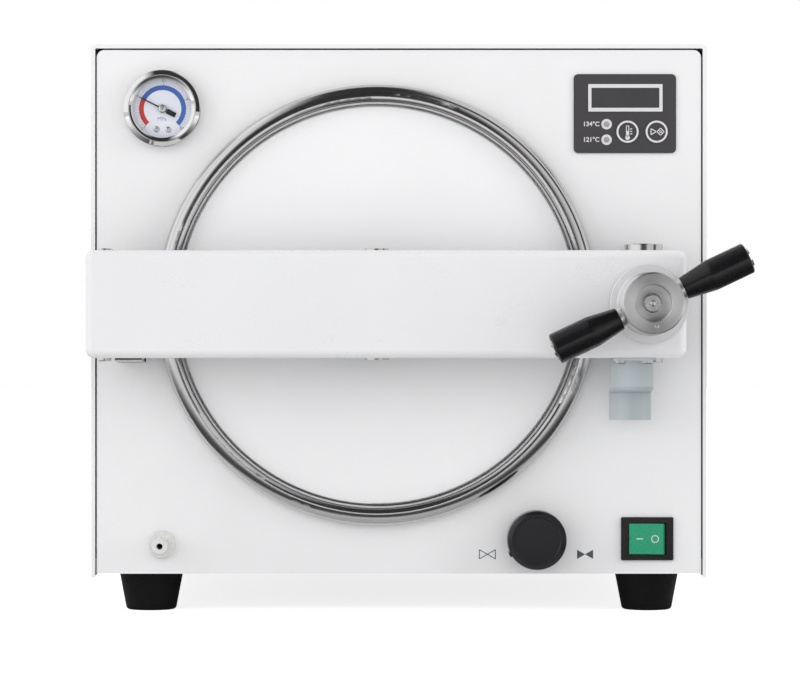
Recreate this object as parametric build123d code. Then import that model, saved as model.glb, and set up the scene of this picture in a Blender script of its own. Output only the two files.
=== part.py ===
from build123d import *
import os
from math import atan2, cos, sin, sqrt, tau

# Dental autoclave with a side-hinged door beam and a screw clamp.
# Millimetres, +Z up, the front faces -Y. The origin is on the bench, under the middle of the casing.
# "Ahead" is the distance in front of the front panel's face, and is negative behind it.
# Heights of things on the panel are measured from the casing's underside, and drops from its top.

# Casing
CASE_WIDTH = 400.0
CASE_DEPTH = 445.0
CASE_HEIGHT = 344.0
COVER_SHEET = 1.2
COVER_LIP = 2.6
COVER_SKIRT = 2.5
COVER_BEND_RADIUS = 3.0
LIP_CORNER_RADIUS = 0.8
PANEL_SHEET = 1.5
PANEL_INSET = 1.0
PANEL_GAP = 1.0
PANEL_FLANGE = 14.0
PANEL_CORNER_RADIUS = 5.0
BASE_SHEET = 1.5
BASE_FLANGE = 10.0
SHEET_FIT = 0.15
SLOT_FIT = 0.6

# Feet
FOOT_HEIGHT = 25.0
FOOT_X = 163.0
FOOT_SETBACK = 30.0
FOOT_TOP_RADIUS = 21.0
FOOT_BOTTOM_RADIUS = 16.2
FOOT_EDGE_RADIUS = 2.5
FOOT_SCREW_RADIUS = 3.0
FOOT_SCREW_HEAD_RADIUS = 6.0
FOOT_SCREW_HEAD = 4.0
FOOT_RECESS_RADIUS = 8.0
FOOT_RECESS_DEPTH = 13.0
FOOT_NUT_HEIGHT = 5.0
FOOT_NUT_RADIUS = 5.8
SCREW_HOLE_FIT = 0.2

# Cover screws
COVER_SCREW_RADIUS = 2.0
COVER_SCREW_HEAD_RADIUS = 3.6
COVER_SCREW_LENGTH = 8.0
COVER_SCREW_HEIGHT = 5.5
COVER_SCREWS_PER_SIDE = 4
COVER_SCREW_MARGIN = 40.0

# Chamber, ring and yoke, round one horizontal axis
DOOR_X = -14.0
DOOR_HEIGHT = 174.5
CHAMBER_RADIUS = 123.0
CHAMBER_WALL = 2.0
CHAMBER_DEPTH = 370.0
DOME_RISE = 23.0
LAND_AHEAD = -3.0
FLANGE_THICKNESS = 4.0
FLANGE_RADIUS = 142.0
RING_BORE_RADIUS = 130.3
RING_NECK_RADIUS = 137.0
RING_RADIUS = 143.2
RING_HEIGHT = 11.0
RING_OUTER_ROUND = 7.6
RING_INNER_ROUND = 4.6
YOKE_THICKNESS = 8.0
YOKE_RING_RADIUS = 148.0
YOKE_WING_HALF_HEIGHT = 45.0
YOKE_SIDE_MARGIN = 6.5
WELD_FIT = 0.3
CRADLE_SHEET = 3.0
CRADLE_HALF_WIDTH = 70.0
CRADLE_SETBACK = 2.0
CRADLE_TOP_HEIGHT = 95.0
CRADLE_FOOT = 18.0
SHELL_PORT_RADIUS = 6.0

# Heater and insulation
HEATER_THICKNESS = 3.0
HEATER_START = 150.0
HEATER_LENGTH = 100.0
JACKET_THICKNESS = 17.5
JACKET_START = 24.0
JACKET_END_MARGIN = 6.0
JACKET_FIT = 0.3

# Rack and trays in the chamber
RACK_HALF_WIDTH = 88.0
RACK_SHEET = 1.5
RACK_WALL_GAP = 0.4
RACK_TOP = 62.0
RACK_START = 20.0
RACK_END_MARGIN = 30.0
RACK_STRAP = 30.0
LEDGE_WIDTH = 11.0
LEDGE_HEIGHTS = (-52.0, -6.0, 40.0)
TRAY_SHEET = 1.0
TRAY_SIDE_GAP = 1.0
TRAY_HEIGHT = 18.0
TRAY_SETBACK = 5.0
TRAY_SLOTS_ACROSS = 3
TRAY_SLOTS_ALONG = 6
TRAY_SLOT_WIDTH = 8.0
TRAY_LIP = 6.0

# Door beam
BEAM_LEFT = -198.3
BEAM_RIGHT = 182.0
BEAM_HALF_HEIGHT = 34.2
BEAM_BACK = 32.0
BEAM_THICKNESS = 28.0
BEAM_WALL = 5.0
BEAM_CORNER_RADIUS = 5.5
BEAM_EDGE_RADIUS = 5.0
BEAM_RIB = 4.0

# Hinge, on the left
HINGE_X = -187.0
PIN_RADIUS = 4.0
PIN_FIT = 0.05
PIN_PROUD = 2.0
PIN_HEAD = 1.2
PIN_HEAD_RADIUS = 5.0
HINGE_BARREL_RADIUS = 10.0
KNUCKLE_RADIUS = 8.0
KNUCKLE_HALF_HEIGHT = 14.0
KNUCKLE_GAP = 0.6
KNUCKLE_ARM_HALF_WIDTH = 4.5
HINGE_WEB_WIDTH = 17.5
HINGE_WEB_AHEAD = 26.0
HINGE_WEB_BELOW = 36.6
HINGE_WEB_ABOVE = 33.0
BRACKET_FOOT = 3.2
BRACKET_FOOT_HALF_HEIGHT = 42.0

# Clamp, on the right
SCREW_X = 158.0
SCREW_RADIUS = 6.0
SCREW_FIT = 0.1
SCREW_ENGAGEMENT = 13.5
SCREW_NOSE = 2.0
TRUNNION_RADIUS = 12.5
TRUNNION_AHEAD = 14.0
TRUNNION_PROUD_ABOVE = 5.0
TRUNNION_PROUD_BELOW = 3.0
TRUNNION_CHAMFER = 0.4
TRUNNION_BORE_FIT = 0.35
TRUNNION_MOUTH_RADIUS = 7.4
EAR_RADIUS = 17.0
EAR_INNER = 16.0
EAR_OUTER = 28.0
CLIP_THICKNESS = 1.4
CLIP_GROOVE = 0.6
CLIP_RIM = 2.0
BOSS_RADIUS = 13.0
BOSS_LENGTH = 18.0
SCREW_TRAVEL = 12.0
SCREW_CLIP_RADIUS = 8.5
WASHER_THICKNESS = 2.0
WASHER_RADIUS = 20.0

# Handle
HUB_FLANGE_RADIUS = 25.0
HUB_FLANGE = 4.0
HUB_RADIUS = 19.5
HUB_LENGTH = 34.0
HUB_EDGE_RADIUS = 1.5
HUB_RECESS_RADIUS = 11.3
HUB_RECESS_DEPTH = 10.0
HUB_SCREW_PROUD = 3.0
CENTRE_DRILL_RADIUS = 2.2
GRIP_ANGLE = 25.4
GRIP_START = 22.0
GRIP_LENGTH = 45.0
GRIP_NECK_RADIUS = 7.2
GRIP_RADIUS = 10.0
GRIP_TAPER_LENGTH = 19.0
GRIP_TAPER_ROUND = 16.0
GRIP_END_ROUND = 1.5
GRIP_FIT = 0.1
SPINDLE_RADIUS = 4.0
SPINDLE_DEPTH = 8.0
SPINDLE_COLLAR_RADIUS = 6.6
SPINDLE_HEAD_RADIUS = 5.9
SPINDLE_HEAD = 3.4
SPINDLE_HEAD_PROUD = 1.3
SPINDLE_SLOT = 4.0
SPINDLE_SLOT_DEPTH = 2.2
GRIP_POCKET_RADIUS = 7.4

# Lid
LID_RADIUS = 129.2
LID_FRONT = 4.0
LID_PLATE = 3.0
LID_EDGE_ROUND = 0.8
DISH_RADIUS = 119.4
DISH_AHEAD = -13.0
DISH_SHEET = 2.5
DISH_ROUND = 8.0
GASKET_RADIUS = 127.4
GASKET_FIT = 0.2
GASKET_ROUND = 1.2
LID_PIN_AHEAD = 43.0
LID_PIN_RADIUS = 6.0
LID_PIN_HEAD_RADIUS = 8.0
LID_PIN_HEAD = 1.2
LID_BOSS_RADIUS = 34.0
LID_BOSS_FLANGE = 6.0
LID_EYE_RADIUS = 10.6
LID_EYE_HALF_HEIGHT = 15.0

# Stop plate under the beam
STOP_SHEET = 1.5
STOP_WIDTH = 27.0
STOP_OFFSET = -9.0
STOP_BACK = 36.0
STOP_FLANGE = 20.0
STOP_UPPER_DROP = 18.5
STOP_JOGGLE = 20.0
STOP_JOGGLE_DROP = 2.5
STOP_TOTAL_DROP = 40.0
STOP_BEND_RADIUS = 2.0
STOP_SCREW_SPACING = 16.8
STOP_SCREW_RADIUS = 2.0
STOP_SCREW_HEAD_RADIUS = 3.8
STOP_SCREW_HEAD = 2.6
STOP_SCREW_GRIP = 7.5

# Gauge
GAUGE_X = -153.5
GAUGE_HEIGHT = 302.0
GAUGE_BEZEL_RADIUS = 25.0
GAUGE_BEZEL_HEIGHT = 10.0
GAUGE_CREST_RADIUS = 21.6
GAUGE_RIM_HEIGHT = 5.2
GAUGE_LIP_HEIGHT = 7.0
GAUGE_WINDOW_RADIUS = 19.2
GAUGE_CASE_RADIUS = 22.6
GAUGE_CASE_DEPTH = 26.0
GAUGE_WALL = 1.2
GAUGE_DIAL_AHEAD = 2.0
GAUGE_DIAL_THICKNESS = 0.8
GAUGE_GLASS = 1.5
GAUGE_GLASS_AHEAD = 4.4
POINTER_ANGLE = 153.0
POINTER_LENGTH = 16.5
POINTER_TAIL = 9.5
POINTER_TAIL_HALF_WIDTH = 1.6
POINTER_TAIL_START = 3.2
POINTER_ARM_HALF_WIDTH = 0.55
POINTER_TIP_HALF_WIDTH = 0.3
POINTER_THICKNESS = 0.6
POINTER_HUB_RADIUS = 2.6
POINTER_LIFT = 1.0
GAUGE_PIPE_RADIUS = 2.5
GAUGE_PIPE_BACK = 62.0
GAUGE_PIPE_BEND = 12.0

# Control fascia
FASCIA_X = 146.8
FASCIA_DROP = 45.0
FASCIA_SIZE = (66.5, 51.3)
FASCIA_CORNER_RADIUS = 3.0
FASCIA_THICKNESS = 1.2
FASCIA_OVERLAP = 4.0
WINDOW_CENTRE = (0.3, 10.2)
WINDOW_SIZE = (48.3, 17.8)
WINDOW_PROUD = 0.4
KEY_RADIUS = 7.2
KEY_DROP = -11.8
KEY_OFFSETS = (1.7, 20.6)
KEY_PROUD = 0.6
KEY_FIT = 0.2
LAMP_OFFSET = -11.9
LAMP_DROPS = (-6.9, -17.0)
LAMP_RADIUS = 1.8
LAMP_PROUD = 0.5
BOARD_SIZE = (76.0, 60.0)
BOARD_THICKNESS = 1.6
BOARD_BACK = 12.0
BOARD_PILLAR_RADIUS = 3.0
BOARD_PILLAR_INSET = 5.0

# Power switch
SWITCH_X = 161.3
SWITCH_HEIGHT = 22.8
SWITCH_FRAME = (34.0, 28.0)
SWITCH_FRAME_HEIGHT = 2.4
SWITCH_FRAME_CORNER = 0.8
SWITCH_BODY = (30.0, 24.0)
SWITCH_BODY_DEPTH = 24.0
SWITCH_WELL = (24.6, 20.6)
SWITCH_WELL_DEPTH = 11.0
ROCKER_FIT = 0.4
ROCKER_PIVOT_AHEAD = -3.0
ROCKER_TILT = 7.0
ROCKER_END_AHEAD = 4.6
ROCKER_MIDDLE_AHEAD = 3.2
ROCKER_SKIRT = 4.5
ROCKER_END_TAPER = 0.9
ROCKER_AXLE_RADIUS = 1.6

# Steam valve and drain
VALVE_X = 89.0
VALVE_HEIGHT = 22.8
VALVE_BODY_RADIUS = 12.0
VALVE_BODY_LENGTH = 36.0
VALVE_STEM_RADIUS = 4.0
VALVE_BUSH_RADIUS = 7.0
VALVE_BUSH_AHEAD = 3.0
KNOB_RADIUS = 19.2
KNOB_GAP = 4.0
KNOB_HEIGHT = 20.0
KNOB_TEETH = 90
KNOB_TOOTH_DEPTH = 0.55
KNOB_BEVEL = 1.2
KNOB_RING_RADIUS = 16.6
KNOB_RING_STEP = 1.0
KNOB_DISH_RADIUS = 15.4
KNOB_DISH_DEPTH = 0.9
KNOB_POINTER_ANGLE = 208.0
KNOB_POINTER_PROUD = 0.9
KNOB_POINTER_DEPTH = 2.0
KNOB_POINTER_WIDTH = 3.0
PIPE_RADIUS = 4.0
PIPE_BEND = 12.0
PIPE_BEHIND_VALVE = 80.0
DRAIN_PIPE_BACK = 30.0
NOZZLE_X = -154.0
NOZZLE_HEIGHT = 19.0
NOZZLE_BASE_RADIUS = 9.0
NOZZLE_BASE = 3.0
NOZZLE_RADIUS = 5.3
NOZZLE_NECK_RADIUS = 4.4
NOZZLE_LENGTH = 20.0
NOZZLE_BORE_RADIUS = 2.0
NOZZLE_TAIL = 14.0
NOZZLE_TAIL_RADIUS = 6.0

# Back of the casing
SAFETY_VALVE_RADIUS = 11.0
SAFETY_STEM_RADIUS = 3.0
SAFETY_VALVE_PROUD = 26.0
SAFETY_BORE_FIT = 0.1
SAFETY_RING_RADIUS = 9.0
SAFETY_WIRE_RADIUS = 1.3
PORT_BOSS_RADIUS = 12.0
PORT_BOSS_LENGTH = 12.0
INLET_X = 120.0
INLET_HEIGHT = 45.0
INLET_FLANGE = (50.0, 40.0)
INLET_FLANGE_THICKNESS = 3.0
INLET_BODY = (42.0, 32.0)
INLET_BODY_DEPTH = 28.0
INLET_SOCKET = (24.0, 16.0)
INLET_SOCKET_DEPTH = 16.0
INLET_SOCKET_RISE = 6.0
INLET_PIN_PITCH = 7.0
INLET_PIN_STAGGER = 2.0
INLET_PIN_SIZE = (2.0, 4.0)
INLET_PIN_SUNK = 3.0
FUSE_DRAWER_SIZE = (24.0, 7.0)
FUSE_DRAWER_DROP = 8.0
FUSE_DRAWER_PROUD = 1.5
VENT_COLUMNS = 10
VENT_ROWS = 2
VENT_SIZE = (3.5, 34.0)
VENT_PITCH = (10.0, 44.0)
VENT_CENTRE = (-70.0, 285.0)
CUTOUT_RADIUS = 9.0
CUTOUT_LENGTH = 12.0
CUTOUT_OFFSET = 70.0
TRANSFORMER_X = 140.0
TRANSFORMER_BACK = 180.0
TRANSFORMER_CORE = (60.0, 26.0, 50.0)
TRANSFORMER_LEG = 10.0
TRANSFORMER_COIL = (38.0, 48.0, 29.0)
TRANSFORMER_FOOT = (80.0, 20.0, 2.0)

PANEL_Y = -CASE_DEPTH / 2 + PANEL_INSET
REAR_Y = CASE_DEPTH / 2 - PANEL_INSET
UNDERSIDE = FOOT_HEIGHT
DOOR_Z = UNDERSIDE + DOOR_HEIGHT
PANEL_HALF_WIDTH = CASE_WIDTH / 2 - COVER_LIP - PANEL_GAP
PANEL_TOP = UNDERSIDE + CASE_HEIGHT - COVER_LIP - PANEL_GAP
FASCIA_Z = UNDERSIDE + CASE_HEIGHT - FASCIA_DROP
FLANGE_BACK = LAND_AHEAD - FLANGE_THICKNESS
YOKE_BACK = FLANGE_BACK - YOKE_THICKNESS
RACK_LENGTH = CHAMBER_DEPTH - RACK_START - RACK_END_MARGIN
SHELL_RADIUS = CHAMBER_RADIUS + CHAMBER_WALL
SHELL_STRAIGHT_END = LAND_AHEAD - CHAMBER_DEPTH + DOME_RISE
BEAM_FRONT = BEAM_BACK + BEAM_THICKNESS
BEAM_MIDDLE = BEAM_BACK + BEAM_THICKNESS / 2
BEAM_TOP = DOOR_Z + BEAM_HALF_HEIGHT
BEAM_BOTTOM = DOOR_Z - BEAM_HALF_HEIGHT
SCREW_TIP = TRUNNION_AHEAD + TRUNNION_RADIUS - SCREW_ENGAGEMENT
HUB_BACK = BEAM_FRONT + WASHER_THICKNESS
HUB_FACE = HUB_BACK + HUB_FLANGE
HUB_FRONT = HUB_FACE + HUB_LENGTH
GRIP_AHEAD = HUB_FACE + HUB_LENGTH / 2
BRACKET_FOOT_FRONT = FLANGE_BACK + BRACKET_FOOT


def ahead(distance):
    """The y of a point this far in front of the front panel's face."""
    return PANEL_Y - distance


def section(*corners):
    """A closed face through corners given as (u, v) or as (u, v, corner radius)."""
    points = [corner[:2] for corner in corners]
    radii = [corner[2] if len(corner) > 2 else 0 for corner in corners]
    return make_face(FilletPolyline(*points, radius=radii, close=True))


def rectangle(centre, size, radius=0):
    """A rectangle round a centre, with rounded corners."""
    (u, v), (half_u, half_v) = centre, (size[0] / 2, size[1] / 2)
    return section(
        (u - half_u, v - half_v, radius),
        (u + half_u, v - half_v, radius),
        (u + half_u, v + half_v, radius),
        (u - half_u, v + half_v, radius),
    )


def block(x_range, y_range, z_range):
    """A box between two values on each axis."""
    (x0, x1), (y0, y1), (z0, z1) = x_range, sorted(y_range), z_range
    return Pos((x0 + x1) / 2, (y0 + y1) / 2, (z0 + z1) / 2) * Box(x1 - x0, y1 - y0, z1 - z0)


def upright(face, front, back):
    """Carries a face drawn in (x, z) from one distance ahead of the panel back to another."""
    plane = Plane(origin=(0, ahead(back), 0), x_dir=(1, 0, 0), z_dir=(0, -1, 0))
    return extrude(plane * face, front - back)


def layered(face, bottom, top):
    """Carries a face drawn in (x, y) from one height up to another."""
    return extrude(Pos(0, 0, bottom) * face, top - bottom)


def turned(outline, x, z):
    """Revolves an outline drawn in (radius, distance ahead) about the line through x and z along Y."""
    plane = Plane(origin=(x, PANEL_Y, z), x_dir=(1, 0, 0), z_dir=(0, 0, -1))
    return revolve(plane * outline, Axis((x, PANEL_Y, z), (0, -1, 0)))


def rod(x, z, radius, front, back):
    """A round bar along Y between two distances ahead of the panel."""
    return upright(Pos(x, z) * Circle(radius), front, back)


def post(x, y, radius, bottom, top):
    """A round bar along Z."""
    return layered(Pos(x, y) * Circle(radius), bottom, top)


def pipe(points, bend, radius):
    """A round tube's outer shape along straight runs joined by tangent bends."""
    path = FilletPolyline(*points, radius=bend)
    start = path ^ 0
    return sweep(Plane(origin=start.position, z_dir=start.z_axis.direction) * Circle(radius), path)


def arch(half_width, bottom, top, radius):
    """An outline with square lower corners and rounded upper ones."""
    return section(
        (-half_width, bottom), (half_width, bottom), (half_width, top, radius), (-half_width, top, radius)
    )


def foot_places():
    """The (x, y) of the four feet."""
    reach = CASE_DEPTH / 2 - FOOT_SETBACK
    return [(side * FOOT_X, end * reach) for side in (-1, 1) for end in (-1, 1)]


def cover_screw_places():
    """The y of each cover screw along a side."""
    reach = CASE_DEPTH / 2 - COVER_SCREW_MARGIN
    step = 2 * reach / (COVER_SCREWS_PER_SIDE - 1)
    return [-reach + index * step for index in range(COVER_SCREWS_PER_SIDE)]


def wrap_cover():
    """Left side, top and right side in one sheet, with its front and rear edges turned in."""
    bottom = UNDERSIDE - COVER_SKIRT
    top = UNDERSIDE + CASE_HEIGHT
    half = CASE_WIDTH / 2
    front = PANEL_INSET
    back = front - CASE_DEPTH
    outer = arch(half, bottom, top, COVER_BEND_RADIUS)
    opening = arch(half - COVER_LIP, bottom, top - COVER_LIP, LIP_CORNER_RADIUS)
    inside = arch(half - COVER_SHEET, bottom, top - COVER_SHEET, COVER_BEND_RADIUS - COVER_SHEET)
    cover = upright(outer - opening, front, back)
    cover -= upright(inside, front - COVER_SHEET, back + COVER_SHEET)
    return cover - cover_screw_shapes(SCREW_HOLE_FIT)


def cover_screw_shapes(growth=0.0):
    """Countersunk screws through the cover's sides into the base, or their holes when grown."""
    height = UNDERSIDE + COVER_SCREW_HEIGHT
    half = CASE_WIDTH / 2
    outline = section(
        (0, 0),
        (0, -COVER_SCREW_LENGTH),
        (COVER_SCREW_RADIUS + growth, -COVER_SCREW_LENGTH),
        (COVER_SCREW_RADIUS + growth, -COVER_SHEET),
        (COVER_SCREW_HEAD_RADIUS + growth, 0),
    )
    screw = revolve(Plane.XZ * outline, Axis.Z)
    return [
        Pos(side * half, y, height) * Rot(0, side * 90, 0) * screw
        for side in (-1, 1)
        for y in cover_screw_places()
    ]


def chassis_base():
    """The bottom pan, with upturned flanges on its four sides."""
    half = CASE_WIDTH / 2 - COVER_SHEET - SHEET_FIT
    front = ahead(-PANEL_SHEET)
    back = REAR_Y - PANEL_SHEET
    pan = block((-half, half), (front, back), (UNDERSIDE, UNDERSIDE + BASE_FLANGE))
    pan -= block(
        (-half + BASE_SHEET, half - BASE_SHEET),
        (front + BASE_SHEET, back - BASE_SHEET),
        (UNDERSIDE + BASE_SHEET, UNDERSIDE + BASE_FLANGE),
    )
    hole = FOOT_SCREW_RADIUS + SCREW_HOLE_FIT
    for x, y in foot_places():
        pan -= post(x, y, hole, UNDERSIDE, UNDERSIDE + BASE_SHEET)
    return pan - cover_screw_shapes(SCREW_HOLE_FIT)


def feet():
    """Four tapered rubber feet with a recess for the screw's head."""
    outline = section(
        (FOOT_SCREW_RADIUS + SCREW_HOLE_FIT, FOOT_HEIGHT),
        (FOOT_TOP_RADIUS, FOOT_HEIGHT),
        (FOOT_BOTTOM_RADIUS, 0, FOOT_EDGE_RADIUS),
        (FOOT_RECESS_RADIUS, 0),
        (FOOT_RECESS_RADIUS, FOOT_RECESS_DEPTH),
        (FOOT_SCREW_RADIUS + SCREW_HOLE_FIT, FOOT_RECESS_DEPTH),
    )
    foot = revolve(Plane.XZ * outline, Axis.Z)
    return [Pos(x, y) * foot for x, y in foot_places()]


def foot_screws():
    """A pan-head screw up through each foot, with a nut inside the base."""
    nut_seat = UNDERSIDE + BASE_SHEET
    nut_top = nut_seat + FOOT_NUT_HEIGHT
    screw = post(0, 0, FOOT_SCREW_RADIUS, FOOT_RECESS_DEPTH, nut_top + 1)
    head = post(0, 0, FOOT_SCREW_HEAD_RADIUS, FOOT_RECESS_DEPTH - FOOT_SCREW_HEAD, FOOT_RECESS_DEPTH)
    screw += fillet(head.edges().group_by(Axis.Z)[0], FOOT_SCREW_HEAD / 3)
    nut = layered(RegularPolygon(FOOT_NUT_RADIUS, 6), nut_seat, nut_top)
    nut -= post(0, 0, FOOT_SCREW_RADIUS, nut_seat, nut_top)
    return [Pos(x, y) * piece for x, y in foot_places() for piece in (screw, nut)]


def panel(front, back):
    """A flat panel with flanges turned back along its top and sides, between two distances ahead."""
    outline = arch(PANEL_HALF_WIDTH, UNDERSIDE, PANEL_TOP, PANEL_CORNER_RADIUS)
    inside = arch(
        PANEL_HALF_WIDTH - PANEL_SHEET, UNDERSIDE, PANEL_TOP - PANEL_SHEET, PANEL_CORNER_RADIUS - PANEL_SHEET
    )
    outward = 1 if front > back else -1
    flange_back = front - outward * PANEL_FLANGE
    sheet_back = front - outward * PANEL_SHEET
    clear_of_base = UNDERSIDE + BASE_FLANGE + PANEL_GAP
    shell = upright(outline, max(front, flange_back), min(front, flange_back))
    shell -= upright(inside, max(sheet_back, flange_back), min(sheet_back, flange_back))
    shell -= block(
        (-PANEL_HALF_WIDTH, PANEL_HALF_WIDTH),
        (ahead(sheet_back), ahead(flange_back)),
        (UNDERSIDE, clear_of_base),
    )
    return shell


def front_panel():
    """The front, with its openings for the chamber, brackets, gauge, controls, valve and drain."""
    through = -PANEL_SHEET
    shell = panel(0, through)
    shell -= rod(DOOR_X, DOOR_Z, RING_NECK_RADIUS + SLOT_FIT, 0, through)
    shell -= rod(GAUGE_X, UNDERSIDE + GAUGE_HEIGHT, GAUGE_CASE_RADIUS + SLOT_FIT, 0, through)
    shell -= rod(VALVE_X, UNDERSIDE + VALVE_HEIGHT, VALVE_BUSH_RADIUS + SCREW_HOLE_FIT, 0, through)
    shell -= rod(NOZZLE_X, UNDERSIDE + NOZZLE_HEIGHT, NOZZLE_TAIL_RADIUS + SCREW_HOLE_FIT, 0, through)
    board_hole = (FASCIA_SIZE[0] - 2 * FASCIA_OVERLAP, FASCIA_SIZE[1] - 2 * FASCIA_OVERLAP)
    fascia_centre = (FASCIA_X, FASCIA_Z)
    shell -= upright(rectangle(fascia_centre, board_hole), 0, through)
    switch_hole = (SWITCH_BODY[0] + 2 * SHEET_FIT, SWITCH_BODY[1] + 2 * SHEET_FIT)
    shell -= upright(rectangle((SWITCH_X, UNDERSIDE + SWITCH_HEIGHT), switch_hole), 0, through)
    web_left, web_right = hinge_web_range()
    arm_left = HINGE_X - KNUCKLE_ARM_HALF_WIDTH
    shell -= block(
        (web_left - SLOT_FIT, web_right + SLOT_FIT),
        (ahead(0), ahead(through)),
        (DOOR_Z - HINGE_WEB_BELOW - SLOT_FIT, DOOR_Z + HINGE_WEB_ABOVE + SLOT_FIT),
    )
    shell -= block(
        (arm_left - SLOT_FIT, web_right),
        (ahead(0), ahead(through)),
        (DOOR_Z - KNUCKLE_HALF_HEIGHT - SLOT_FIT, DOOR_Z + KNUCKLE_HALF_HEIGHT + SLOT_FIT),
    )
    for low, high in ear_ranges():
        shell -= block(
            (SCREW_X - EAR_RADIUS - SLOT_FIT, SCREW_X + EAR_RADIUS + SLOT_FIT),
            (ahead(0), ahead(through)),
            (low - CLIP_THICKNESS - SLOT_FIT, high + CLIP_THICKNESS + SLOT_FIT),
        )
    return shell


def rear_panel():
    """The back, with its openings for the safety valve, the mains inlet and the cooling air."""
    face = -(CASE_DEPTH - 2 * PANEL_INSET)
    inner = face + PANEL_SHEET
    shell = panel(face, inner)
    shell -= rod(DOOR_X, DOOR_Z, SAFETY_VALVE_RADIUS + SLOT_FIT, inner, face)
    inlet_hole = (INLET_BODY[0] + 2 * SHEET_FIT, INLET_BODY[1] + 2 * SHEET_FIT)
    shell -= upright(rectangle((INLET_X, UNDERSIDE + INLET_HEIGHT), inlet_hole), inner, face)
    vent = upright(rectangle((0, 0), VENT_SIZE, VENT_SIZE[0] / 2.01), inner, face)
    for column in range(VENT_COLUMNS):
        for row in range(VENT_ROWS):
            x = VENT_CENTRE[0] + (column - (VENT_COLUMNS - 1) / 2) * VENT_PITCH[0]
            height = VENT_CENTRE[1] + (row - (VENT_ROWS - 1) / 2) * VENT_PITCH[1]
            shell -= Pos(x, 0, UNDERSIDE + height) * vent
    return shell


def domed(radius, growth):
    """A cylinder from the land back to the dome, its end rounded off by the dome's sphere."""
    dome = (CHAMBER_RADIUS**2 + DOME_RISE**2) / (2 * DOME_RISE)
    centre = LAND_AHEAD - CHAMBER_DEPTH + dome
    tube = rod(DOOR_X, DOOR_Z, radius, LAND_AHEAD, LAND_AHEAD - CHAMBER_DEPTH - CHAMBER_WALL)
    return tube & Pos(DOOR_X, ahead(centre), DOOR_Z) * Sphere(dome + growth)


def chamber_shell():
    """The stainless pressure chamber's flange and rolled shell."""
    shell = rod(DOOR_X, DOOR_Z, SHELL_RADIUS, LAND_AHEAD, SHELL_STRAIGHT_END)
    shell += rod(DOOR_X, DOOR_Z, FLANGE_RADIUS, LAND_AHEAD, FLANGE_BACK)
    return shell - rod(DOOR_X, DOOR_Z, CHAMBER_RADIUS, LAND_AHEAD, SHELL_STRAIGHT_END)


def chamber_head():
    """The dished head welded to the shell's end, with the boss of the safety valve's port."""
    apex = LAND_AHEAD - CHAMBER_DEPTH
    head = domed(SHELL_RADIUS, CHAMBER_WALL) - domed(CHAMBER_RADIUS, 0)
    head -= rod(DOOR_X, DOOR_Z, FLANGE_RADIUS, LAND_AHEAD, SHELL_STRAIGHT_END)
    head += rod(DOOR_X, DOOR_Z, PORT_BOSS_RADIUS, apex, apex - PORT_BOSS_LENGTH)
    return head - rod(DOOR_X, DOOR_Z, SHELL_PORT_RADIUS, apex + CHAMBER_WALL, apex - PORT_BOSS_LENGTH)


def door_ring():
    """The polished ring round the mouth: a neck through the panel and a rounded bead in front of it."""
    outline = section(
        (RING_BORE_RADIUS, LAND_AHEAD),
        (RING_NECK_RADIUS, LAND_AHEAD),
        (RING_NECK_RADIUS, 0),
        (RING_RADIUS, 0),
        (RING_RADIUS, RING_HEIGHT, RING_OUTER_ROUND),
        (RING_BORE_RADIUS, RING_HEIGHT, RING_INNER_ROUND),
    )
    return turned(outline, DOOR_X, DOOR_Z)


def yoke_right():
    """The right end of the yoke's wing, under the latch bracket."""
    return SCREW_X + EAR_RADIUS + CLIP_RIM


def yoke_plate():
    """The thick plate behind the chamber's flange that ties hinge and latch together."""
    left = -PANEL_HALF_WIDTH + PANEL_SHEET + CLIP_THICKNESS
    half = YOKE_WING_HALF_HEIGHT
    wings = section(
        (left, DOOR_Z - half, YOKE_SIDE_MARGIN),
        (yoke_right(), DOOR_Z - half, YOKE_SIDE_MARGIN),
        (yoke_right(), DOOR_Z + half, YOKE_SIDE_MARGIN),
        (left, DOOR_Z + half, YOKE_SIDE_MARGIN),
    )
    outline = wings + Pos(DOOR_X, DOOR_Z) * Circle(YOKE_RING_RADIUS)
    outline -= Pos(DOOR_X, DOOR_Z) * Circle(SHELL_RADIUS + WELD_FIT)
    return upright(outline, FLANGE_BACK, YOKE_BACK)


def chamber_cradles():
    """Two saddles of bent sheet that carry the chamber on the base, front and rear."""
    floor = UNDERSIDE + BASE_SHEET
    saddle = section(
        (DOOR_X - CRADLE_HALF_WIDTH, floor),
        (DOOR_X + CRADLE_HALF_WIDTH, floor),
        (DOOR_X + CRADLE_HALF_WIDTH, floor + CRADLE_TOP_HEIGHT),
        (DOOR_X - CRADLE_HALF_WIDTH, floor + CRADLE_TOP_HEIGHT),
    )
    saddle -= Pos(DOOR_X, DOOR_Z) * Circle(SHELL_RADIUS + WELD_FIT)
    foot = rectangle((DOOR_X, floor + CRADLE_SHEET / 2), (2 * CRADLE_HALF_WIDTH, CRADLE_SHEET))
    front = YOKE_BACK - CRADLE_SETBACK
    rear = SHELL_STRAIGHT_END + CRADLE_SHEET + CRADLE_SETBACK
    front_saddle = upright(saddle, front, front - CRADLE_SHEET) + upright(foot, front, front - CRADLE_FOOT)
    rear_saddle = upright(saddle, rear, rear - CRADLE_SHEET) + upright(foot, rear, rear - CRADLE_FOOT)
    return [front_saddle, rear_saddle]


def shell_sleeve(inner, outer, front, back):
    """A plain tube round the chamber."""
    ring = Circle(outer) - Circle(inner)
    return upright(Pos(DOOR_X, DOOR_Z) * ring, front, back)


def heater_band():
    """The electric heater strapped round the chamber."""
    front = LAND_AHEAD - HEATER_START
    inner = SHELL_RADIUS + WELD_FIT
    return shell_sleeve(inner, inner + HEATER_THICKNESS, front, front - HEATER_LENGTH)


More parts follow.
